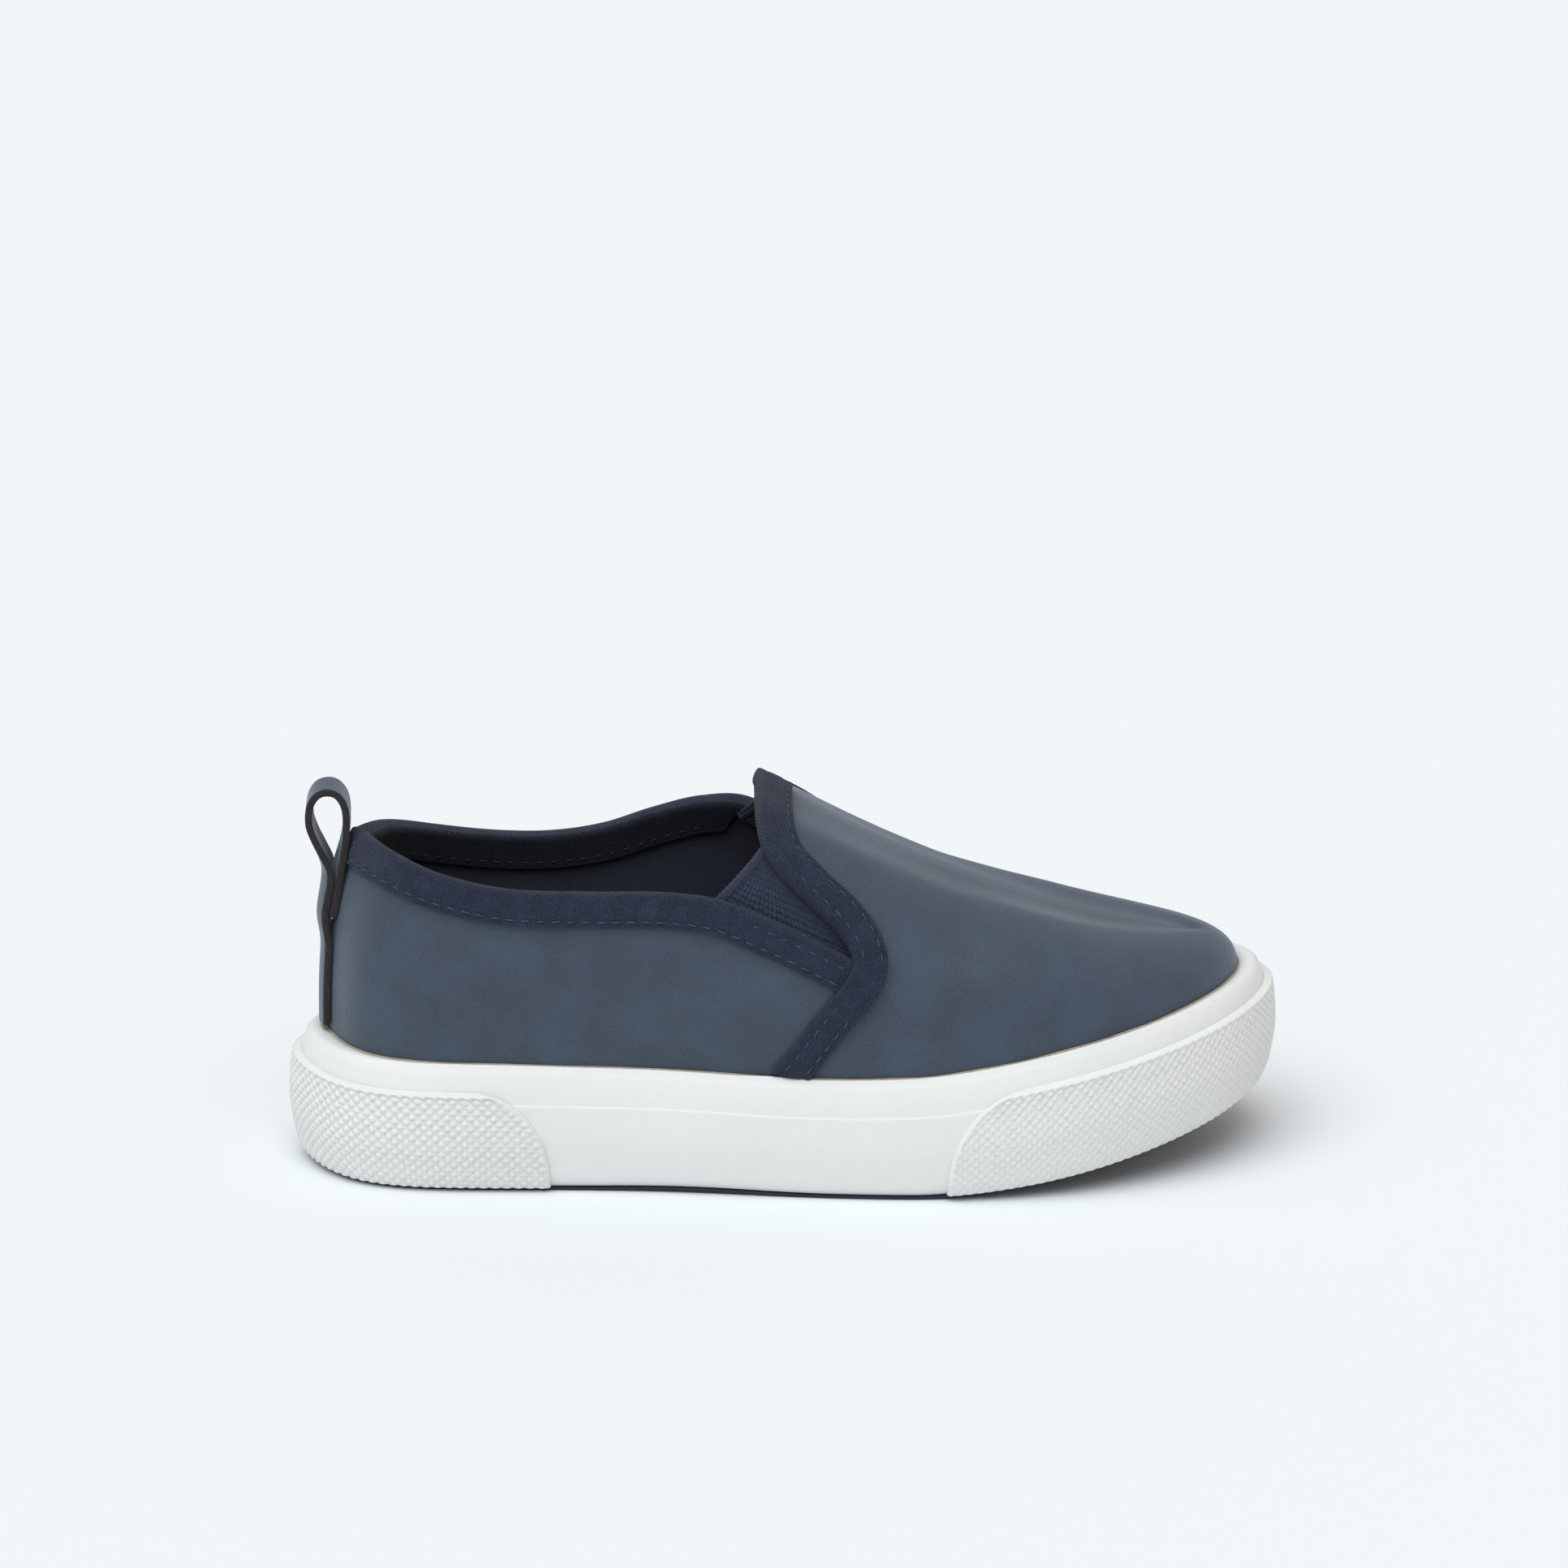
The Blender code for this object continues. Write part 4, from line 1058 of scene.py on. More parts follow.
def knurl(along, up, pitch, depth):
    """Height of a field of raised diamonds: two families of slanting grooves that cross."""
    slant = 1.15
    groove_share = 0.62
    grooves = []
    for way in (1, -1):
        phase = (along + way * slant * up) / pitch
        grooves.append(np.abs(phase - np.round(phase)) * 2)
    return depth * (ease(np.minimum(*grooves) / groove_share) - 1)


def build_bumper(name, reach, drop, toe, pitch, depth):
    """A raised patch round the heel or the toe, with a plain rim and a knurled field."""
    make = bpy.context.scene.sneaker_make
    top = 1 - drop / FOXING_HEIGHT
    shares = np.concatenate([
        [0.0, 0.012], np.linspace(0.03, top - 0.02, 74), [top - 0.010, top - 0.003, top],
    ])
    columns = 520 if toe else 400
    field_fade, sunk = 0.35 * MM, 0.02 * MM
    rounded_edge, edge_drop = 0.80 * MM, 0.90 * BUMPER_THICKNESS
    roundness = 2.4
    table_places, table_lengths = outline_lengths()
    inner = []
    outer = []
    for share in shares:
        short = BUMPER_CORNER * (1 - math.sqrt(1 - (share / top) ** roundness))
        end = np.array(reach - short)
        ends = [float(place_at_reach(end, sign, toe)) for sign in (1, -1)]
        if toe:
            ends[1] += ROUND_TRIP
        places = np.linspace(ends[0], ends[1], columns)
        length = np.interp(places, table_places, table_lengths)
        height = share * (FOXING_HEIGHT - foxing_base())
        to_end = np.minimum(np.abs(length - length[0]), np.abs(length - length[-1]))
        to_top = (top - share) * FOXING_HEIGHT
        inside = np.minimum(to_end, to_top)
        field = ease((inside - make.bumper_rim) / field_fade)
        edge = -edge_drop * ease(1 - inside / rounded_edge) ** 2
        relief = field * (knurl(length, height, pitch, depth) - sunk) + edge
        inner.append(foxing_side(places, share, -GAP))
        outer.append(foxing_side(places, share, GAP + BUMPER_THICKNESS + relief))
    bumper = slab(name + "_dressed", np.array(inner), np.array(outer), "foxing_rubber")
    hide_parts(name)


def build_insole():
    """A padded footbed with a low cupped rim."""
    places = loop_places(20, 40, 26)
    out = -(feather_inset(places) + UPPER_WALL + 2 * GAP)
    bottom = OUTSOLE_THICKNESS + GAP
    rim = sole_point(places, out, bottom + INSOLE_THICKNESS)
    spine = np.stack([rim[:, 0], np.full(len(rim), CREST_SIDE * 0.5), rim[:, 2]], -1)
    spine_rear, spine_front = 0.10 * SOLE_LENGTH, 0.86 * SOLE_LENGTH
    spine[:, 0] = np.clip(spine[:, 0], spine_rear, spine_front)
    spine[:, 2] = bottom + INSOLE_THICKNESS + lift(spine[:, 0])
    rows = [sole_point(places, out, bottom)]
    for share, rise in INSOLE_PADDING:
        row = rim + (spine - rim) * share
        row[:, 2] += rise
        rows.append(row)
    rows = np.array(rows)
    faces = grid_faces(len(rows), len(places), wrap_columns=True) + plan_caps(len(rows), len(places))
    insole = make_piece("insole_dressed", rows.reshape(-1, 3), faces, ["lining_cloth"], sharp=60)
    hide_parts("insole")


# Upper pieces

def crease_relief(side, points):
    """How far the leather stands out, in metres, by its creases and a soft unevenness."""
    view = points[..., [0, 2]]
    unevenness, patch, seed = 0.00010, 0.011, 2.0
    relief = unevenness * ripple(points, patch, seed)
    for crease in CREASES:
        if crease.side != side:
            continue
        start = np.array([crease.along * SOLE_LENGTH, crease.height * INSTEP_HEIGHT])
        end = np.array([crease.to_along * SOLE_LENGTH, crease.to_height * INSTEP_HEIGHT])
        way = end - start
        share = np.clip(np.sum((view - start) * way, -1) / np.dot(way, way), 0, 1)
        apart = np.linalg.norm(view - start - share[..., None] * way, axis=-1)
        relief += crease.swell * MM * np.exp(-((apart / (crease.reach * MM)) ** 2))
    return relief


def upper_lines(side):
    """Lines up one side of the upper, from the feather line to the edge of the opening or the crest."""
    sign = WAY_ROUND[side]
    place, turn = place_on_last(side, *notch_foot(side))
    foot = abs(float(place))
    quarter = np.concatenate([np.linspace(0, 3, 40, endpoint=False), np.linspace(3, foot, 40)])
    low_turn = np.linspace(float(turn), 0.72, 36)
    edge_turn = np.concatenate([low_turn[1:-1], np.linspace(0.72, 1, 26)])
    edge = np.abs(vamp_edge(side, edge_turn))
    crest = np.linspace(edge[-1], LAST_STATION, 50)[1:]
    fan = foot + VAMP_FAN
    start = np.concatenate([
        quarter,
        np.linspace(foot, fan, len(edge) + 1)[1:],
        np.linspace(fan, LAST_STATION, len(crest) + 1)[1:],
    ])
    end = np.concatenate([quarter, edge, crest])
    top = np.concatenate([quarter_edge(sign * quarter), edge_turn, np.ones_like(crest)])
    return sign * start, sign * end, top, len(quarter) + len(edge)


def build_upper():
    """The leather shell with its dark lining on the inner face."""
    points = []
    faces = []
    which = []
    shares = np.concatenate([np.linspace(0, 0.80, 30, endpoint=False), np.linspace(0.80, 1, 26)])
    calm_foot, calm_edge, calm_crest = 0.12, 0.08, 9 * MM
    for side in SIDES:
        start, end, top, open_lines = upper_lines(side)
        base = sum(len(p) for p in points)
        for depth in (0.0, UPPER_WALL):
            columns = [sole_point(start, -(feather_inset(start) + GAP + depth), OUTSOLE_THICKNESS + GAP)]
            for share in shares:
                place = start + (end - start) * share**3
                out = -depth
                if depth == 0:
                    fade = ease(share / calm_foot) * ease((1 - share) / calm_edge)
                    spot = last(place, top * share)
                    off_crest = ease(np.abs(spot[:, 1] - CREST_SIDE) / calm_crest)
                    out = crease_relief(side, spot) * off_crest * fade
                columns.append(off_last(place, top * share, out))
            on_crest = slice(open_lines - 1, None)
            other = off_last(-end, top, -depth)
            columns[-1][on_crest] = (columns[-1][on_crest] + other[on_crest]) / 2
            points.append(np.swapaxes(columns, 0, 1).reshape(-1, 3))
        lines, count = len(start), len(columns)
        inner = base + lines * count
        grid = grid_faces(lines, count)
        faces += [[base + i for i in face] for face in grid]
        which += [0] * len(grid)
        faces += [[inner + i for i in face] for face in grid]
        which += [1] * len(grid)
        for column, rim_lines in ((0, lines), (count - 1, open_lines)):
            for i in range(rim_lines - 1):
                a, b = i * count + column, (i + 1) * count + column
                faces.append([base + a, base + b, inner + b, inner + a])
                which.append(0)
    finishes = ["nubuck_leather", "lining_cloth"]
    points = np.concatenate(points)
    upper = make_piece("upper_dressed", points, faces, finishes, which=which, weld=5e-5, sharp=50)
    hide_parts("upper")


def even_path(place, turn, spacing):
    """The same path over the last, with its points evenly spaced."""
    length = run_lengths(last(place, turn))
    even = np.linspace(0, length[-1], int(length[-1] / spacing) + 1)
    return np.interp(even, length, place), np.interp(even, length, turn), even


def edge_directions(place, turn, towards):
    """From each point of a path along an edge, the direction into the leather."""
    edge, _, _, outward = last_frame(place, turn)
    tangent = np.gradient(edge, axis=0)
    into = np.cross(outward, tangent)
    return unit(into * np.sign(np.sum(into * towards, -1, keepdims=True)))


def slide(line, trim):
    """Shorten a line of points by a distance at both ends, keeping their number."""
    length = run_lengths(line)
    wanted = trim + (length[-1] - 2 * trim) * length / length[-1]
    return resample(wanted, length, line)


def tape_line(path, into, distance, out, slant):
    """A line along the tape: a distance from the edge and a height out of the leather, row by row."""
    place, turn = walk(path[0], path[1], into, distance)
    line = off_last(place, turn, out)
    trim = slant * (float(np.mean(distance)) + GAP + BINDING_THICKNESS)
    return slide(line, max(trim, 0.0))


def folded_section(inner_leg):
    """Points (from the edge, out of the face) of a tape folded over the edge of the leather."""
    face = GAP + BINDING_THICKNESS
    low = 0.3 * GAP
    round_end = 0.0004
    points = []
    for distance in np.linspace(BINDING_WIDTH, 0, FACE_POINTS, endpoint=False):
        near_end = max(0.0, (distance - BINDING_WIDTH + round_end) / round_end)
        crown = 0.00010 * math.sin(math.pi * distance / BINDING_WIDTH)
        rise = (face - low + crown) * math.sqrt(1 - near_end**2)
        points.append((distance, low + rise))
    middle = -UPPER_WALL / 2
    for angle in np.radians(np.linspace(90, -90, BEND_POINTS)):
        half = UPPER_WALL / 2 + face
        points.append((-face * math.cos(angle) ** 0.8, middle + half * math.sin(angle)))
    for share in np.linspace(0, 1, LEG_POINTS)[1:]:
        points.append((share * inner_leg, -UPPER_WALL - face))
    points += [(inner_leg, -UPPER_WALL - low), (low, -UPPER_WALL - low), (-low, middle)]
    points += [(low, low), (BINDING_WIDTH / 2, low)]
    return np.array(points)


def flat_section():
    """The same number of points for the tape laid flat on the leather."""
    face = GAP + BINDING_THICKNESS
    low = 0.3 * GAP
    points = list(map(tuple, folded_section(BINDING_WIDTH)[:FACE_POINTS]))
    for angle in np.radians(np.linspace(90, 0, BEND_POINTS)):
        points.append((-face * math.cos(angle) ** 0.6, low + (face - low) * math.sin(angle)))
    for share in np.linspace(0, 1, LEG_POINTS)[1:]:
        points.append((-face * (1 - 0.5 * share), low))
    for share in (0.45, 0.4, 0.3, 0.2):
        points.append((-face * share, low))
    points.append((BINDING_WIDTH / 2, low))
    return np.array(points)


def lay_tape(name, path, towards, wrap, inner_leg, slant, seams, raised):
    """The bound edge: a woven tape along a path, pressed in along its seams.

    raised is how far its outer face stands above its usual height, along the path.
    """
    make = bpy.context.scene.sneaker_make
    place, turn, length = path
    into = edge_directions(place, turn, towards)
    folded = np.array([folded_section(leg) for leg in inner_leg])
    section = flat_section()[None] * (1 - wrap[:, None, None]) + folded * wrap[:, None, None]
    pinch_width, pinch_depth = 0.45 * MM, 0.30 * MM
    lines = []
    for k in range(section.shape[1]):
        distance = section[:, k, 0]
        out = section[:, k, 1].copy()
        if k < RAISED_POINTS:
            out += raised * np.clip(out / (GAP + BINDING_THICKNESS), 0, 1)
        if k < FACE_POINTS:
            for inset, strength in seams:
                pinch = np.exp(-(((distance - inset) / pinch_width) ** 2))
                beat = 0.72 + 0.28 * np.cos(2 * math.pi * length / make.stitch_pitch)
                out -= pinch_depth * pinch * beat * strength
        lines.append(tape_line(path, into, distance, out, slant))
    tape = sweep(name, np.swapaxes(lines, 0, 1), "woven_tape", sharp=75)
    # The inner leg's faces get the darker tape: painted shade.
    tape.data.materials.append(bpy.data.materials["painted_shade_tape"])
    count = section.shape[1]
    for face in tape.data.polygons:
        on_inner_leg = min(i % count for i in face.vertices) >= FIRST_PAINTED_SHADE_POINT
        if on_inner_leg and wrap[face.vertices[0] // count] > 0.5:
            face.material_index = 1
    return tape


def stitch_shape():
    """One stitch: a short bowed thread that dips into the cloth at both ends.

    Where its rings lie along it, how wide they are and how high, and the angles of their points.
    """
    rings = np.array([-0.5, -0.42, -0.2, 0.0, 0.2, 0.42, 0.5])
    width = np.array([0.35, 0.85, 1.0, 1.0, 1.0, 0.85, 0.35])
    rise = np.array([-1.3, -0.45, 0.25, 0.4, 0.25, -0.45, -1.3])
    angle = np.linspace(0, 2 * math.pi, 7)[:-1]
    return rings, width, rise, angle


def sew(name, line, normals, start=0.0, stop=1.0, finish="sewing_thread"):
    """A row of stitches along a line of points, from one share of its length to another."""
    make = bpy.context.scene.sneaker_make
    length = run_lengths(line)
    begin, end = start * length[-1], stop * length[-1]
    count = int((end - begin) / make.stitch_pitch)
    centres = begin + (np.arange(count) + 0.5) * (end - begin) / count
    rings, width, rise, angle = stitch_shape()
    near = 0.4 * MM
    centre = resample(centres, length, line)
    tangent = unit(resample(centres + near, length, line) - resample(centres - near, length, line))
    normal = resample(centres, length, normals)
    normal = unit(normal - np.sum(normal * tangent, 1, keepdims=True) * tangent)
    side = np.cross(normal, tangent)
    tilt = 0.10 * np.sin(12.9898 * np.arange(count))[:, None]
    tangent = tangent + tilt * side
    x = rings[:, None] * make.stitch_length
    y = width[:, None] * make.thread * np.cos(angle)[None, :]
    z = width[:, None] * make.thread * np.sin(angle)[None, :] + rise[:, None] * make.thread
    x, y, z = np.broadcast_arrays(x, y, z)
    points = (
        centre[:, None, None] + x[None, ..., None] * tangent[:, None, None]
        + y[None, ..., None] * side[:, None, None] + z[None, ..., None] * normal[:, None, None]
    )
    faces = []
    ring_count, sides = x.shape
    one = grid_faces(ring_count, sides, wrap_columns=True)
    one.append(list(range(sides)))
    one.append([(ring_count - 1) * sides + j for j in range(sides)])
    for k in range(count):
        base = k * ring_count * sides
        faces += [[base + i for i in face] for face in one]
    thread = make_piece(name, points.reshape(-1, 3), faces, [finish])


def sew_tape(name, path, towards, inset, out, slant, start=0.0, stop=1.0):
    """Stitches a distance from the tape's edge."""
    into = edge_directions(path[0], path[1], towards)
    place, turn = walk(path[0], path[1], into, inset)
    _, _, _, outward = last_frame(place, turn)
    line = tape_line(path, into, inset, out, slant)
    # Stitches on the inner face get the darker thread: painted shade.
    finish = "sewing_thread" if out > 0 else "painted_shade_thread"
    sew(name, line, outward * math.copysign(1.0, out), start, stop, finish)


def first_share(path, reached):
    """The share of a path's length at its first point for which reached is true."""
    return float(path[2][np.argmax(reached)] / path[2][-1])


def last_share(path, reached):
    """The share of a path's length at its last point for which reached is true."""
    return float(path[2][len(reached) - np.argmax(reached[::-1]) - 1] / path[2][-1])


def inner_legs(share):
    """How far the tape's inner leg comes down: from a trace to the width of the tape."""
    return SHORTEST_LEG + (BINDING_WIDTH - SHORTEST_LEG) * share


def quarter_place(side, along):
    """The place on a side where the quarter's top edge is this far along the shoe."""
    place, _ = place_on_last(side, along, quarter_height[side](along))
    return float(place)


def quarter_path():
    """Round the collar from one gore's notch to the other, and its direction into the leather."""
    past_notch = 0.0008
    ends = [quarter_place(side, notch_foot(side)[0] + past_notch) for side in SIDES]
    place = np.linspace(ends[0], ends[1], 900)
    return even_path(place, quarter_edge(place), PATH_STEP)


def build_quarter_binding():
    """The tape round the collar, folded in except over the gores, with its seams."""
    make = bpy.context.scene.sneaker_make
    path = quarter_path()
    place, _, length = path
    down = np.array([0, 0, -1.0])
    face = GAP + BINDING_THICKNESS
    lateral, medial = (quarter_place(side, np.array(GORE_CORNER[side] * SOLE_LENGTH)) for side in SIDES)
    inside = ease((lateral - place) / 0.25) * ease((place - medial) / 0.25)
    to_end = np.minimum(length, length[-1] - length)
    tucked = -0.0005 * (1 - ease(to_end / 0.0045))
    seams = ((make.seam_inset, 1.0),)
    folded = np.ones(len(place))
    binding = lay_tape(
        "quarter_binding_dressed", path, down, folded, inner_legs(inside), 0.0, seams, tucked)
    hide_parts("quarter_binding")
    seat = face - PRESSED_IN
    first, final = 0.012, 0.988
    sew_tape("collar_seam", path, down, make.seam_inset, seat, 0.0, first, final)
    near_edge = 0.0011
    notch_end = first_share(path, place < lateral + 0.35)
    notch_start = last_share(path, place > medial - 0.35)
    sew_tape("notch_seam_lateral", path, down, near_edge, seat, 0.0, first, notch_end)
    sew_tape("notch_seam_medial", path, down, near_edge, seat, 0.0, notch_start, final)
    inner_face = PRESSED_IN - UPPER_WALL - face
    low = first_share(path, place < lateral - 0.25)
    high = last_share(path, place > medial + 0.25)
    sew_tape("collar_seam_inside", path, down, make.seam_inset, inner_face, 0.0, low, high)


def vamp_path():
    """Up the lateral edge of the vamp from the foxing, across the throat and down the medial edge."""
    places = []
    turns = []
    for side in SIDES:
        turn = np.concatenate([
            np.linspace(0.005, 0.72, 260, endpoint=False), np.linspace(0.72, 1.0, 200),
        ])
        place = vamp_edge(side, turn)
        if side == "medial":
            place = (place + ROUND_TRIP)[-2::-1]
            turn = turn[-2::-1]
        places.append(place)
        turns.append(turn)
    return even_path(np.concatenate(places), np.concatenate(turns), PATH_STEP)


def build_vamp_binding():
    """The tape along the vamp's rear edge: flat over the quarters, folded over the tongue."""
    path = vamp_path()
    forward = np.array([1.0, 0, 0])
    _, y, z = np.moveaxis(last(path[0], path[1]), -1, 0)
    lateral = y < CREST_SIDE
    foot = np.where(lateral, notch_foot("lateral")[1], notch_foot("medial")[1])
    wrap = ease((z - foot - 1.2 * BINDING_THICKNESS) / (1.5 * BINDING_THICKNESS))
    head = np.where(lateral, GORE_HEAD["lateral"], GORE_HEAD["medial"]) * INSTEP_HEIGHT
    legs = inner_legs(ease((z - head - 1.0 * MM) / (3.5 * MM)))
    front_inset = BINDING_WIDTH - 1.3 * MM
    rear_inset = 0.0007
    seams = ((front_inset, 1.0), (rear_inset, 0.6))
    above_quarter = (z - foot + 0.5 * BINDING_WIDTH) / (0.6 * BINDING_WIDTH)
    over_quarter = 0.0006 * np.exp(-(above_quarter**2))
    beyond = (y - CREST_SIDE) / MM
    lowered = 0.9 * BINDING_THICKNESS * ease(beyond / 3) * (1 - ease((beyond - 14) / 6))
    slant = 0.35
    binding = lay_tape(
        "vamp_binding_dressed", path, forward, wrap, legs, slant, seams, over_quarter - lowered)
    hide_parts("vamp_binding")
    seat = GAP + BINDING_THICKNESS - PRESSED_IN
    first, final = 0.004, 0.996
    at_crest = first_share(path, beyond > -0.5)
    past_crest = first_share(path, beyond > 19)
    sew_tape("vamp_front_seam_lateral", path, forward, front_inset, seat, slant, first, at_crest)
    sew_tape("vamp_front_seam_medial", path, forward, front_inset, seat, slant, past_crest, final)
    above_gore = z > GORE_HEAD["lateral"] * INSTEP_HEIGHT - 0.006
    low = first_share(path, above_gore)
    high = last_share(path, above_gore)
    sew_tape("vamp_rear_seam_lateral", path, forward, rear_inset, seat, slant, first, low)
    sew_tape("vamp_rear_seam_medial", path, forward, rear_inset, seat, slant, high, final)


def gore_top(side):
    """The rear and the front end (along, height) of the gore's top edge."""
    along = GORE_CORNER[side] * SOLE_LENGTH
    rise = GORE_HEAD[side] * INSTEP_HEIGHT
    corner = np.array([along, float(quarter_height[side](along))])
    return corner, np.array([float(vamp_along[side](rise)), rise])


def build_gore(side):
    """The elastic panel: ribs that run from its top selvedge down into the notch."""
    make = bpy.context.scene.sneaker_make
    corner, head = gore_top(side)
    edge = notch_foot(side) - corner
    edge_length = np.linalg.norm(edge)
    across = np.linspace(-0.22, 1.16, 150)
    along = np.linspace(0, 1, 60)
    b, a = np.meshgrid(across, along, indexing="ij")
    shortest, past_edge = 0.12, 0.0032
    reach = np.clip(1 - b, shortest, 1.0) + past_edge / edge_length
    view = corner + b[..., None] * (head - corner) + (a * reach)[..., None] * edge
    place, turn = place_on_last(side, view[..., 0], view[..., 1])
    from_top = a * reach * edge_length
    selvedge_width = 1.4 * MM
    selvedge = ease((selvedge_width - from_top) / (0.35 * MM))
    rib = make.rib_depth * (np.abs(np.sin(math.pi * b * make.ribs)) ** 0.7 - 1)
    twist = 0.22 * MM * np.sin(2 * math.pi * (b * make.ribs * 1.6 + from_top / (1.5 * MM)))
    roll = 0.25 * MM * np.sin(np.clip(from_top / selvedge_width, 0, 1) * math.pi)
    relief = rib * (1 - selvedge) + (twist * 0.5 + roll) * selvedge
    face = -(UPPER_WALL + 1.3 * GAP)
    outer = off_last(place, turn, face + relief)
    inner = off_last(place, turn, face - GORE_THICKNESS - relief)
    gore = slab("gore_" + side + "_dressed", inner, outer, "ribbed_elastic")
    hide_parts("gore_" + side)


def build_selvedge(side):
    """The whipped top edge of the gore: a cord with slanting turns of thread."""
    corner, head = gore_top(side)
    view = corner + np.linspace(-0.2, 1.05, 240)[:, None] * (head - corner)
    place, turn = place_on_last(side, view[:, 0], view[:, 1])
    middle = off_last(place, turn, -(UPPER_WALL + 1.3 * GAP + 0.5 * GORE_THICKNESS))
    cord, thread, turn_pitch = 0.50 * MM, 0.16 * MM, 0.95 * MM
    length = run_lengths(middle)
    _, _, _, outward = last_frame(place, turn)
    over = unit(np.cross(unit(np.gradient(middle, axis=0)), outward))
    columns = []
    for angle in np.linspace(0, 2 * math.pi, 19)[:-1]:
        turns = np.abs(np.sin(math.pi * length / turn_pitch + 0.5 * angle))
        radius = (cord + thread * turns)[:, None]
        columns.append(middle + radius * (math.cos(angle) * outward + math.sin(angle) * over))
    # The medial selvedge, seen inside the shoe, gets the darker thread: painted shade.
    finish = "edge_thread" if side == "lateral" else "painted_shade_thread"
    selvedge = sweep("gore_selvedge_" + side, np.swapaxes(columns, 0, 1), finish)


def heel_line(height, out):
    """Points (along, height) up the back of the heel, a distance out of the upper."""
    heel = np.zeros_like(height)
    turn = bisect(heel, np.full_like(height, 0.9), lambda t: last(heel, t)[..., 2] < height)
    return off_last(heel, turn, out)[:, [0, 2]]


def tape_centre_line():
    """The middle of the pull tape: up the back seam, round the loop and back under itself."""
    on_leather = GAP + TAPE_THICKNESS / 2
    on_binding = on_leather + GAP + BINDING_THICKNESS
    layer = TAPE_THICKNESS + GAP
    start = foxing_height(np.array(0.0)) + lift(np.array(0.0)) + 2 * GAP
    tail_end = LOOP_FOOT - TAPE_TAIL

    def out_of_leather(height):
        over_binding = ease((height - tail_end) / (1.2 * TAPE_TAIL) - 0.35)
        return on_leather + (on_binding - on_leather) * over_binding

    rise = np.linspace(start, LOOP_FOOT, 15)
    over_tail = ease((rise - tail_end) / (4 * TAPE_THICKNESS) + 1)
    strip = heel_line(rise, out_of_leather(rise) + layer * over_tail)
    fall = np.linspace(LOOP_FOOT, tail_end, 5)
    tail = heel_line(fall, out_of_leather(fall))
    foot_along, foot_height = tail[0]
    loop = np.array([
        (foot_along - bend.back * LOOP_DEPTH, foot_height + bend.up * LOOP_HEIGHT) for bend in LOOP_BENDS
    ])
    rough = np.concatenate([strip, loop, tail])
    length = run_lengths(rough)
    even = np.linspace(0, length[-1], 300)
    line = resample(even, length, rough)
    smoothing_rounds = 60
    for _ in range(smoothing_rounds):
        line[1:-1] += (line[:-2] + line[2:] - 2 * line[1:-1]) / 4
    return line, even


def heel_bow(height, width):
    """How far forward the back of the upper has curved at a height, this far from its middle."""
    on_leather = np.minimum(height, 0.9 * COLLAR_HEIGHT)[:, None]
    wanted, place = np.broadcast_arrays(on_leather, np.linspace(-1.2, 1.2, 25))
    highest = np.full_like(wanted, 0.9)
    turn = bisect(np.zeros_like(wanted), highest, lambda t: last(place, t)[..., 2] < wanted)
    x, y, _ = np.moveaxis(last(place, turn), -1, 0)
    order = np.argsort(y[0])
    curves = zip(y[:, order], x[:, order])
    return np.array([np.interp(width, across, along) - np.interp(0.0, across, along)
                     for across, along in curves])


def tape_profile(half_w, half_t, corner):
    """Points (across, out) round half of a flat tape with soft corners, from one edge to the other."""
    face = [(w, half_t) for w in np.linspace(corner - half_w, half_w - corner, TAPE_FACE_POINTS)]
    cheek = (half_w - 0.1 * corner, half_t - 0.3 * corner)
    edge = [cheek, (half_w, 0.4 * half_t), (half_w, 0.0), (half_w, -0.4 * half_t), (cheek[0], -cheek[1])]
    return face + edge


def build_pull_loop():
    """The tape up the back seam and round the loop, with the fibres of its cut edges."""
    line, length = tape_centre_line()
    ahead = unit(np.gradient(line, axis=0))
    side_way = np.stack([-ahead[:, 1], ahead[:, 0]], -1)
    hug = 1 - np.clip((line[:, 1] - LOOP_FOOT) / (0.6 * LOOP_HEIGHT), 0, 1)
    half_w, half_t = TAPE_WIDTH / 2, TAPE_THICKNESS / 2
    corner = 0.0003
    half = tape_profile(half_w, half_t, corner)
    profile = half + [(-width, -face) for width, face in half]
    columns = []
    for width, face in profile:
        near_edge = abs(width) > half_w - 1.5 * corner
        on_edge = abs(width) >= half_w
        fray = 0.07 * MM * np.sin(length / (0.55 * MM) + 40 * face / half_t) * near_edge
        fray = fray + 0.05 * MM * np.sin(length / (0.23 * MM) + 9 * face / half_t) * on_edge
        x = line[:, 0] + face * side_way[:, 0] + hug * heel_bow(line[:, 1], width)
        y = width + np.sign(width) * fray
        columns.append(np.stack([x, y, line[:, 1] + face * side_way[:, 1]], -1))
    sections = np.swapaxes(columns, 0, 1)
    rows, count = sections.shape[:2]
    faces = grid_faces(rows, count, wrap_columns=True)
    which = [1 if k % len(half) >= TAPE_FACE_POINTS - 1 else 0 for k in range(len(faces))]
    faces += [list(range(count)), [(rows - 1) * count + j for j in range(count)]]
    which += [1, 1]
    finishes = ["nubuck_leather", "cut_fibres"]
    lengths = grid_lengths(sections)
    tape = make_piece("pull_loop_dressed", sections.reshape(-1, 3), faces, finishes, lengths, which)
    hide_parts("pull_loop")


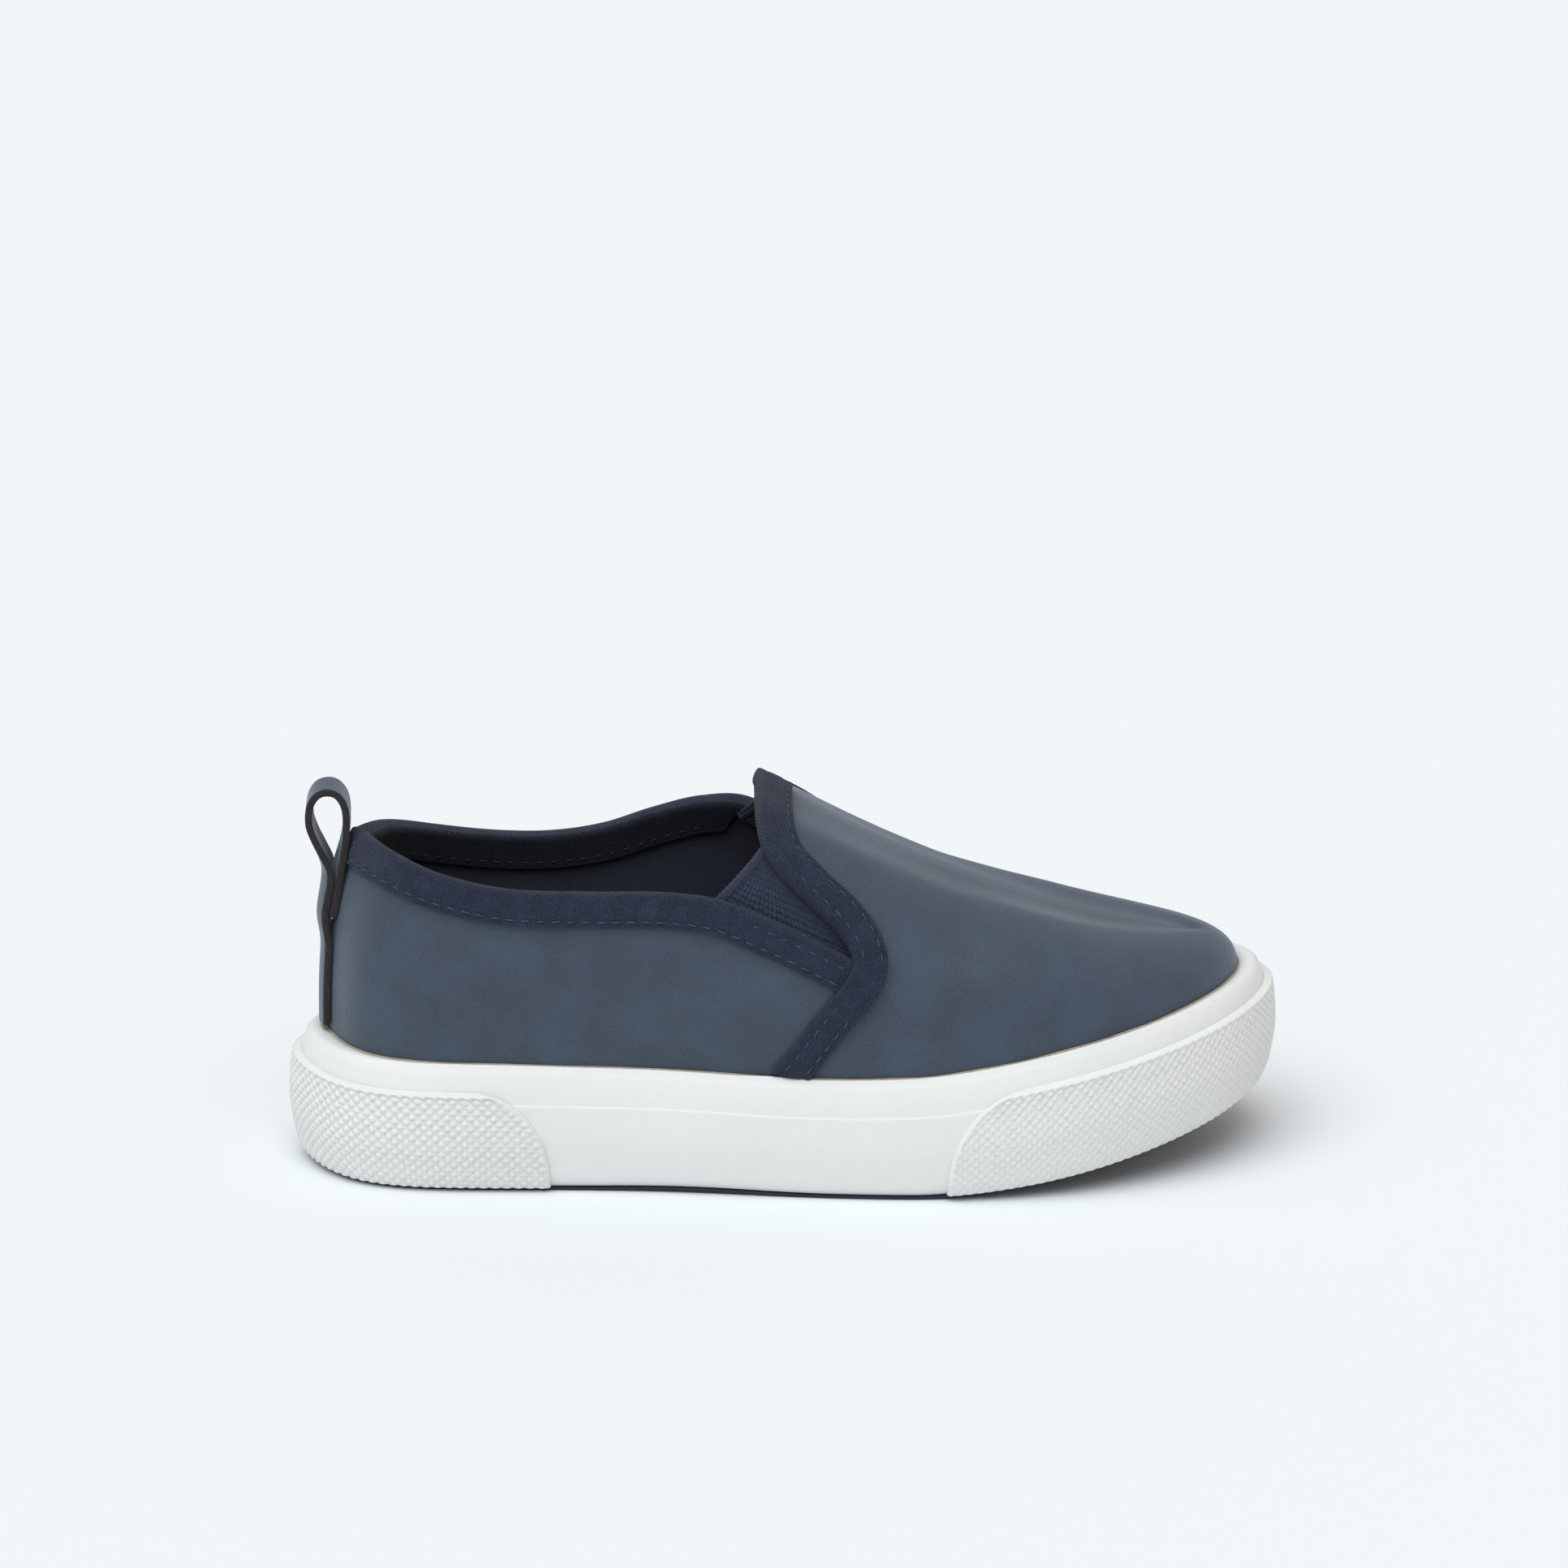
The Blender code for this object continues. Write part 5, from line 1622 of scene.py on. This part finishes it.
def build_cement_line():
    """A thin bead of cement in the joint between the upper and the foxing."""
    places = loop_places(60, 110, 80)
    radius = 0.00026
    sunk = 0.1 * MM
    middle = feather_inset(places) + 0.3 * GAP
    angle = np.linspace(0, 2 * math.pi, 9)[:-1]
    uneven = 1 + 0.35 * ripple(sole_point(places, 0.0 * places, 0.0), 0.004)
    rows = []
    for turn in angle:
        out = radius * uneven * math.cos(turn) - middle
        height = foxing_height(places) + radius * uneven * math.sin(turn) - sunk
        rows.append(sole_point(places, out, height))
    bead = sweep("cement_line", np.swapaxes(rows, 0, 1), "cement_bead", closed=True)


# Operators

class SNEAKER_OT_finishes(bpy.types.Operator):
    """Mix the shoe's materials"""

    bl_idname = "sneaker.finishes"
    bl_label = "Materials"

    def execute(self, context):
        mix_materials(context.scene.sneaker_finish, context.scene.sneaker_make)
        return {"FINISHED"}


class SNEAKER_OT_sole(bpy.types.Operator):
    """Model the navy outsole and the white foxing"""

    bl_idname = "sneaker.sole"
    bl_label = "Outsole and foxing"

    def execute(self, context):
        build_outsole()
        build_foxing()
        build_cement_line()
        return {"FINISHED"}


class SNEAKER_OT_bumpers(bpy.types.Operator):
    """Model the knurled heel and toe bumpers"""

    bl_idname = "sneaker.bumpers"
    bl_label = "Bumpers"

    def execute(self, context):
        make = context.scene.sneaker_make
        pitch, depth = make.knurl_pitch, make.knurl_depth
        build_bumper("heel_bumper", HEEL_BUMPER_REACH, HEEL_BUMPER_DROP, False, pitch, depth)
        pitch, depth = TOE_KNURL_PITCH * pitch, TOE_KNURL_DEPTH * depth
        build_bumper("toe_bumper", TOE_BUMPER_REACH, TOE_BUMPER_DROP, True, pitch, depth)
        return {"FINISHED"}


class SNEAKER_OT_insole(bpy.types.Operator):
    """Model the padded insole"""

    bl_idname = "sneaker.insole"
    bl_label = "Insole"

    def execute(self, context):
        build_insole()
        return {"FINISHED"}


class SNEAKER_OT_upper(bpy.types.Operator):
    """Model the leather upper with its creases and lining"""

    bl_idname = "sneaker.upper"
    bl_label = "Upper"

    def execute(self, context):
        build_upper()
        return {"FINISHED"}


class SNEAKER_OT_bindings(bpy.types.Operator):
    """Fold and sew the woven bindings"""

    bl_idname = "sneaker.bindings"
    bl_label = "Bindings"

    def execute(self, context):
        build_quarter_binding()
        build_vamp_binding()
        return {"FINISHED"}


class SNEAKER_OT_gores(bpy.types.Operator):
    """Model the two ribbed elastic gores"""

    bl_idname = "sneaker.gores"
    bl_label = "Gores"

    def execute(self, context):
        build_gore("lateral")
        build_gore("medial")
        build_selvedge("lateral")
        build_selvedge("medial")
        return {"FINISHED"}


class SNEAKER_OT_pull_loop(bpy.types.Operator):
    """Model the tape up the back seam and its pull loop"""

    bl_idname = "sneaker.pull_loop"
    bl_label = "Pull loop"

    def execute(self, context):
        build_pull_loop()
        return {"FINISHED"}


class SNEAKER_OT_stage(bpy.types.Operator):
    """Lay the pale floor, hang the lights and place the camera"""

    bl_idname = "sneaker.stage"
    bl_label = "Stage"

    def execute(self, context):
        lay_floor()
        light_stage(context.scene.sneaker_stage)
        place_camera(context.scene.sneaker_stage)
        return {"FINISHED"}


def lay_floor():
    half = 6.0
    corners = [(-half, -half, 0), (half, -half, 0), (half, half, 0), (-half, half, 0)]
    data = bpy.data.meshes.new("floor")
    data.from_pydata(corners, [], [(0, 1, 2, 3)])
    made, _, shader = start_material("floor", 0.9, 0.1)
    shader.inputs["Base Color"].default_value = FLOOR_COLOUR
    data.materials.append(made)
    floor = bpy.data.objects.new("floor", data)
    bpy.context.scene.collection.objects.link(floor)


def light_stage(stage):
    """A soft white room: brighter overhead than at the sides, with one wide lamp above."""
    world = bpy.data.worlds.new("soft_room")
    world.use_nodes = True
    tree = world.node_tree
    room = tree.nodes["Background"]
    up = tree.nodes.new("ShaderNodeSeparateXYZ")
    connect(tree, tree.nodes.new("ShaderNodeTexCoord").outputs["Generated"], up.inputs[0])
    brightness = spread(tree, up.outputs["Z"], 0.0, 1.0, 0.75, 1.0)
    connect(tree, maths(tree, "MULTIPLY", brightness, stage.sky), room.inputs["Strength"])
    room.inputs["Color"].default_value = ROOM_COLOUR
    bpy.context.scene.world = world
    lamp = bpy.data.lights.new("overhead", "SUN")
    lamp.energy = stage.key
    lamp.angle = LAMP_SPREAD
    lamp.color = LAMP_COLOUR
    light = bpy.data.objects.new("overhead", lamp)
    light.rotation_euler = Vector(LAMP_DIRECTION).to_track_quat("-Z", "Y").to_euler()
    bpy.context.scene.collection.objects.link(light)
    scene = bpy.context.scene
    scene.view_settings.view_transform = "Standard"
    scene.view_settings.look = "None"


def place_camera(stage):
    aim = np.array(CAMERA_AIM) + SHIFT
    a, e = stage.azimuth, stage.elevation
    back = np.array([math.sin(a) * math.cos(e), -math.cos(a) * math.cos(e), math.sin(e)])
    data = bpy.data.cameras.new("camera")
    data.lens = stage.lens
    data.sensor_width = 36
    camera = bpy.data.objects.new("camera", data)
    camera.location = aim + stage.distance * back
    camera.rotation_euler = Vector(-back).to_track_quat("-Z", "Y").to_euler()
    bpy.context.scene.collection.objects.link(camera)
    bpy.context.scene.camera = camera


STEPS = (
    SNEAKER_OT_finishes, SNEAKER_OT_sole, SNEAKER_OT_bumpers, SNEAKER_OT_insole, SNEAKER_OT_upper,
    SNEAKER_OT_bindings, SNEAKER_OT_gores, SNEAKER_OT_pull_loop, SNEAKER_OT_stage,
)


class SNEAKER_PT_panel(bpy.types.Panel):
    """Lists the steps that dress the sneaker"""

    bl_idname = "SNEAKER_PT_panel"
    bl_label = "Slip-on sneaker"
    bl_space_type = "VIEW_3D"
    bl_region_type = "UI"
    bl_category = "Sneaker"

    def draw(self, context):
        for step in STEPS:
            self.layout.operator(step.bl_idname)
        for group in (context.scene.sneaker_finish, context.scene.sneaker_make, context.scene.sneaker_stage):
            box = self.layout.box()
            for key in group.__annotations__:
                box.prop(group, key)


CLASSES = (SneakerFinish, SneakerMake, SneakerStage) + STEPS + (SNEAKER_PT_panel,)


def register():
    for part in CLASSES:
        bpy.utils.register_class(part)
    bpy.types.Scene.sneaker_finish = PointerProperty(type=SneakerFinish)
    bpy.types.Scene.sneaker_make = PointerProperty(type=SneakerMake)
    bpy.types.Scene.sneaker_stage = PointerProperty(type=SneakerStage)


def unregister():
    del bpy.types.Scene.sneaker_stage
    del bpy.types.Scene.sneaker_make
    del bpy.types.Scene.sneaker_finish
    for part in reversed(CLASSES):
        bpy.utils.unregister_class(part)


def main():
    register()
    for step in STEPS:
        group, name = step.bl_idname.split(".")
        getattr(getattr(bpy.ops, group), name)()


if __name__ == "__main__":
    main()
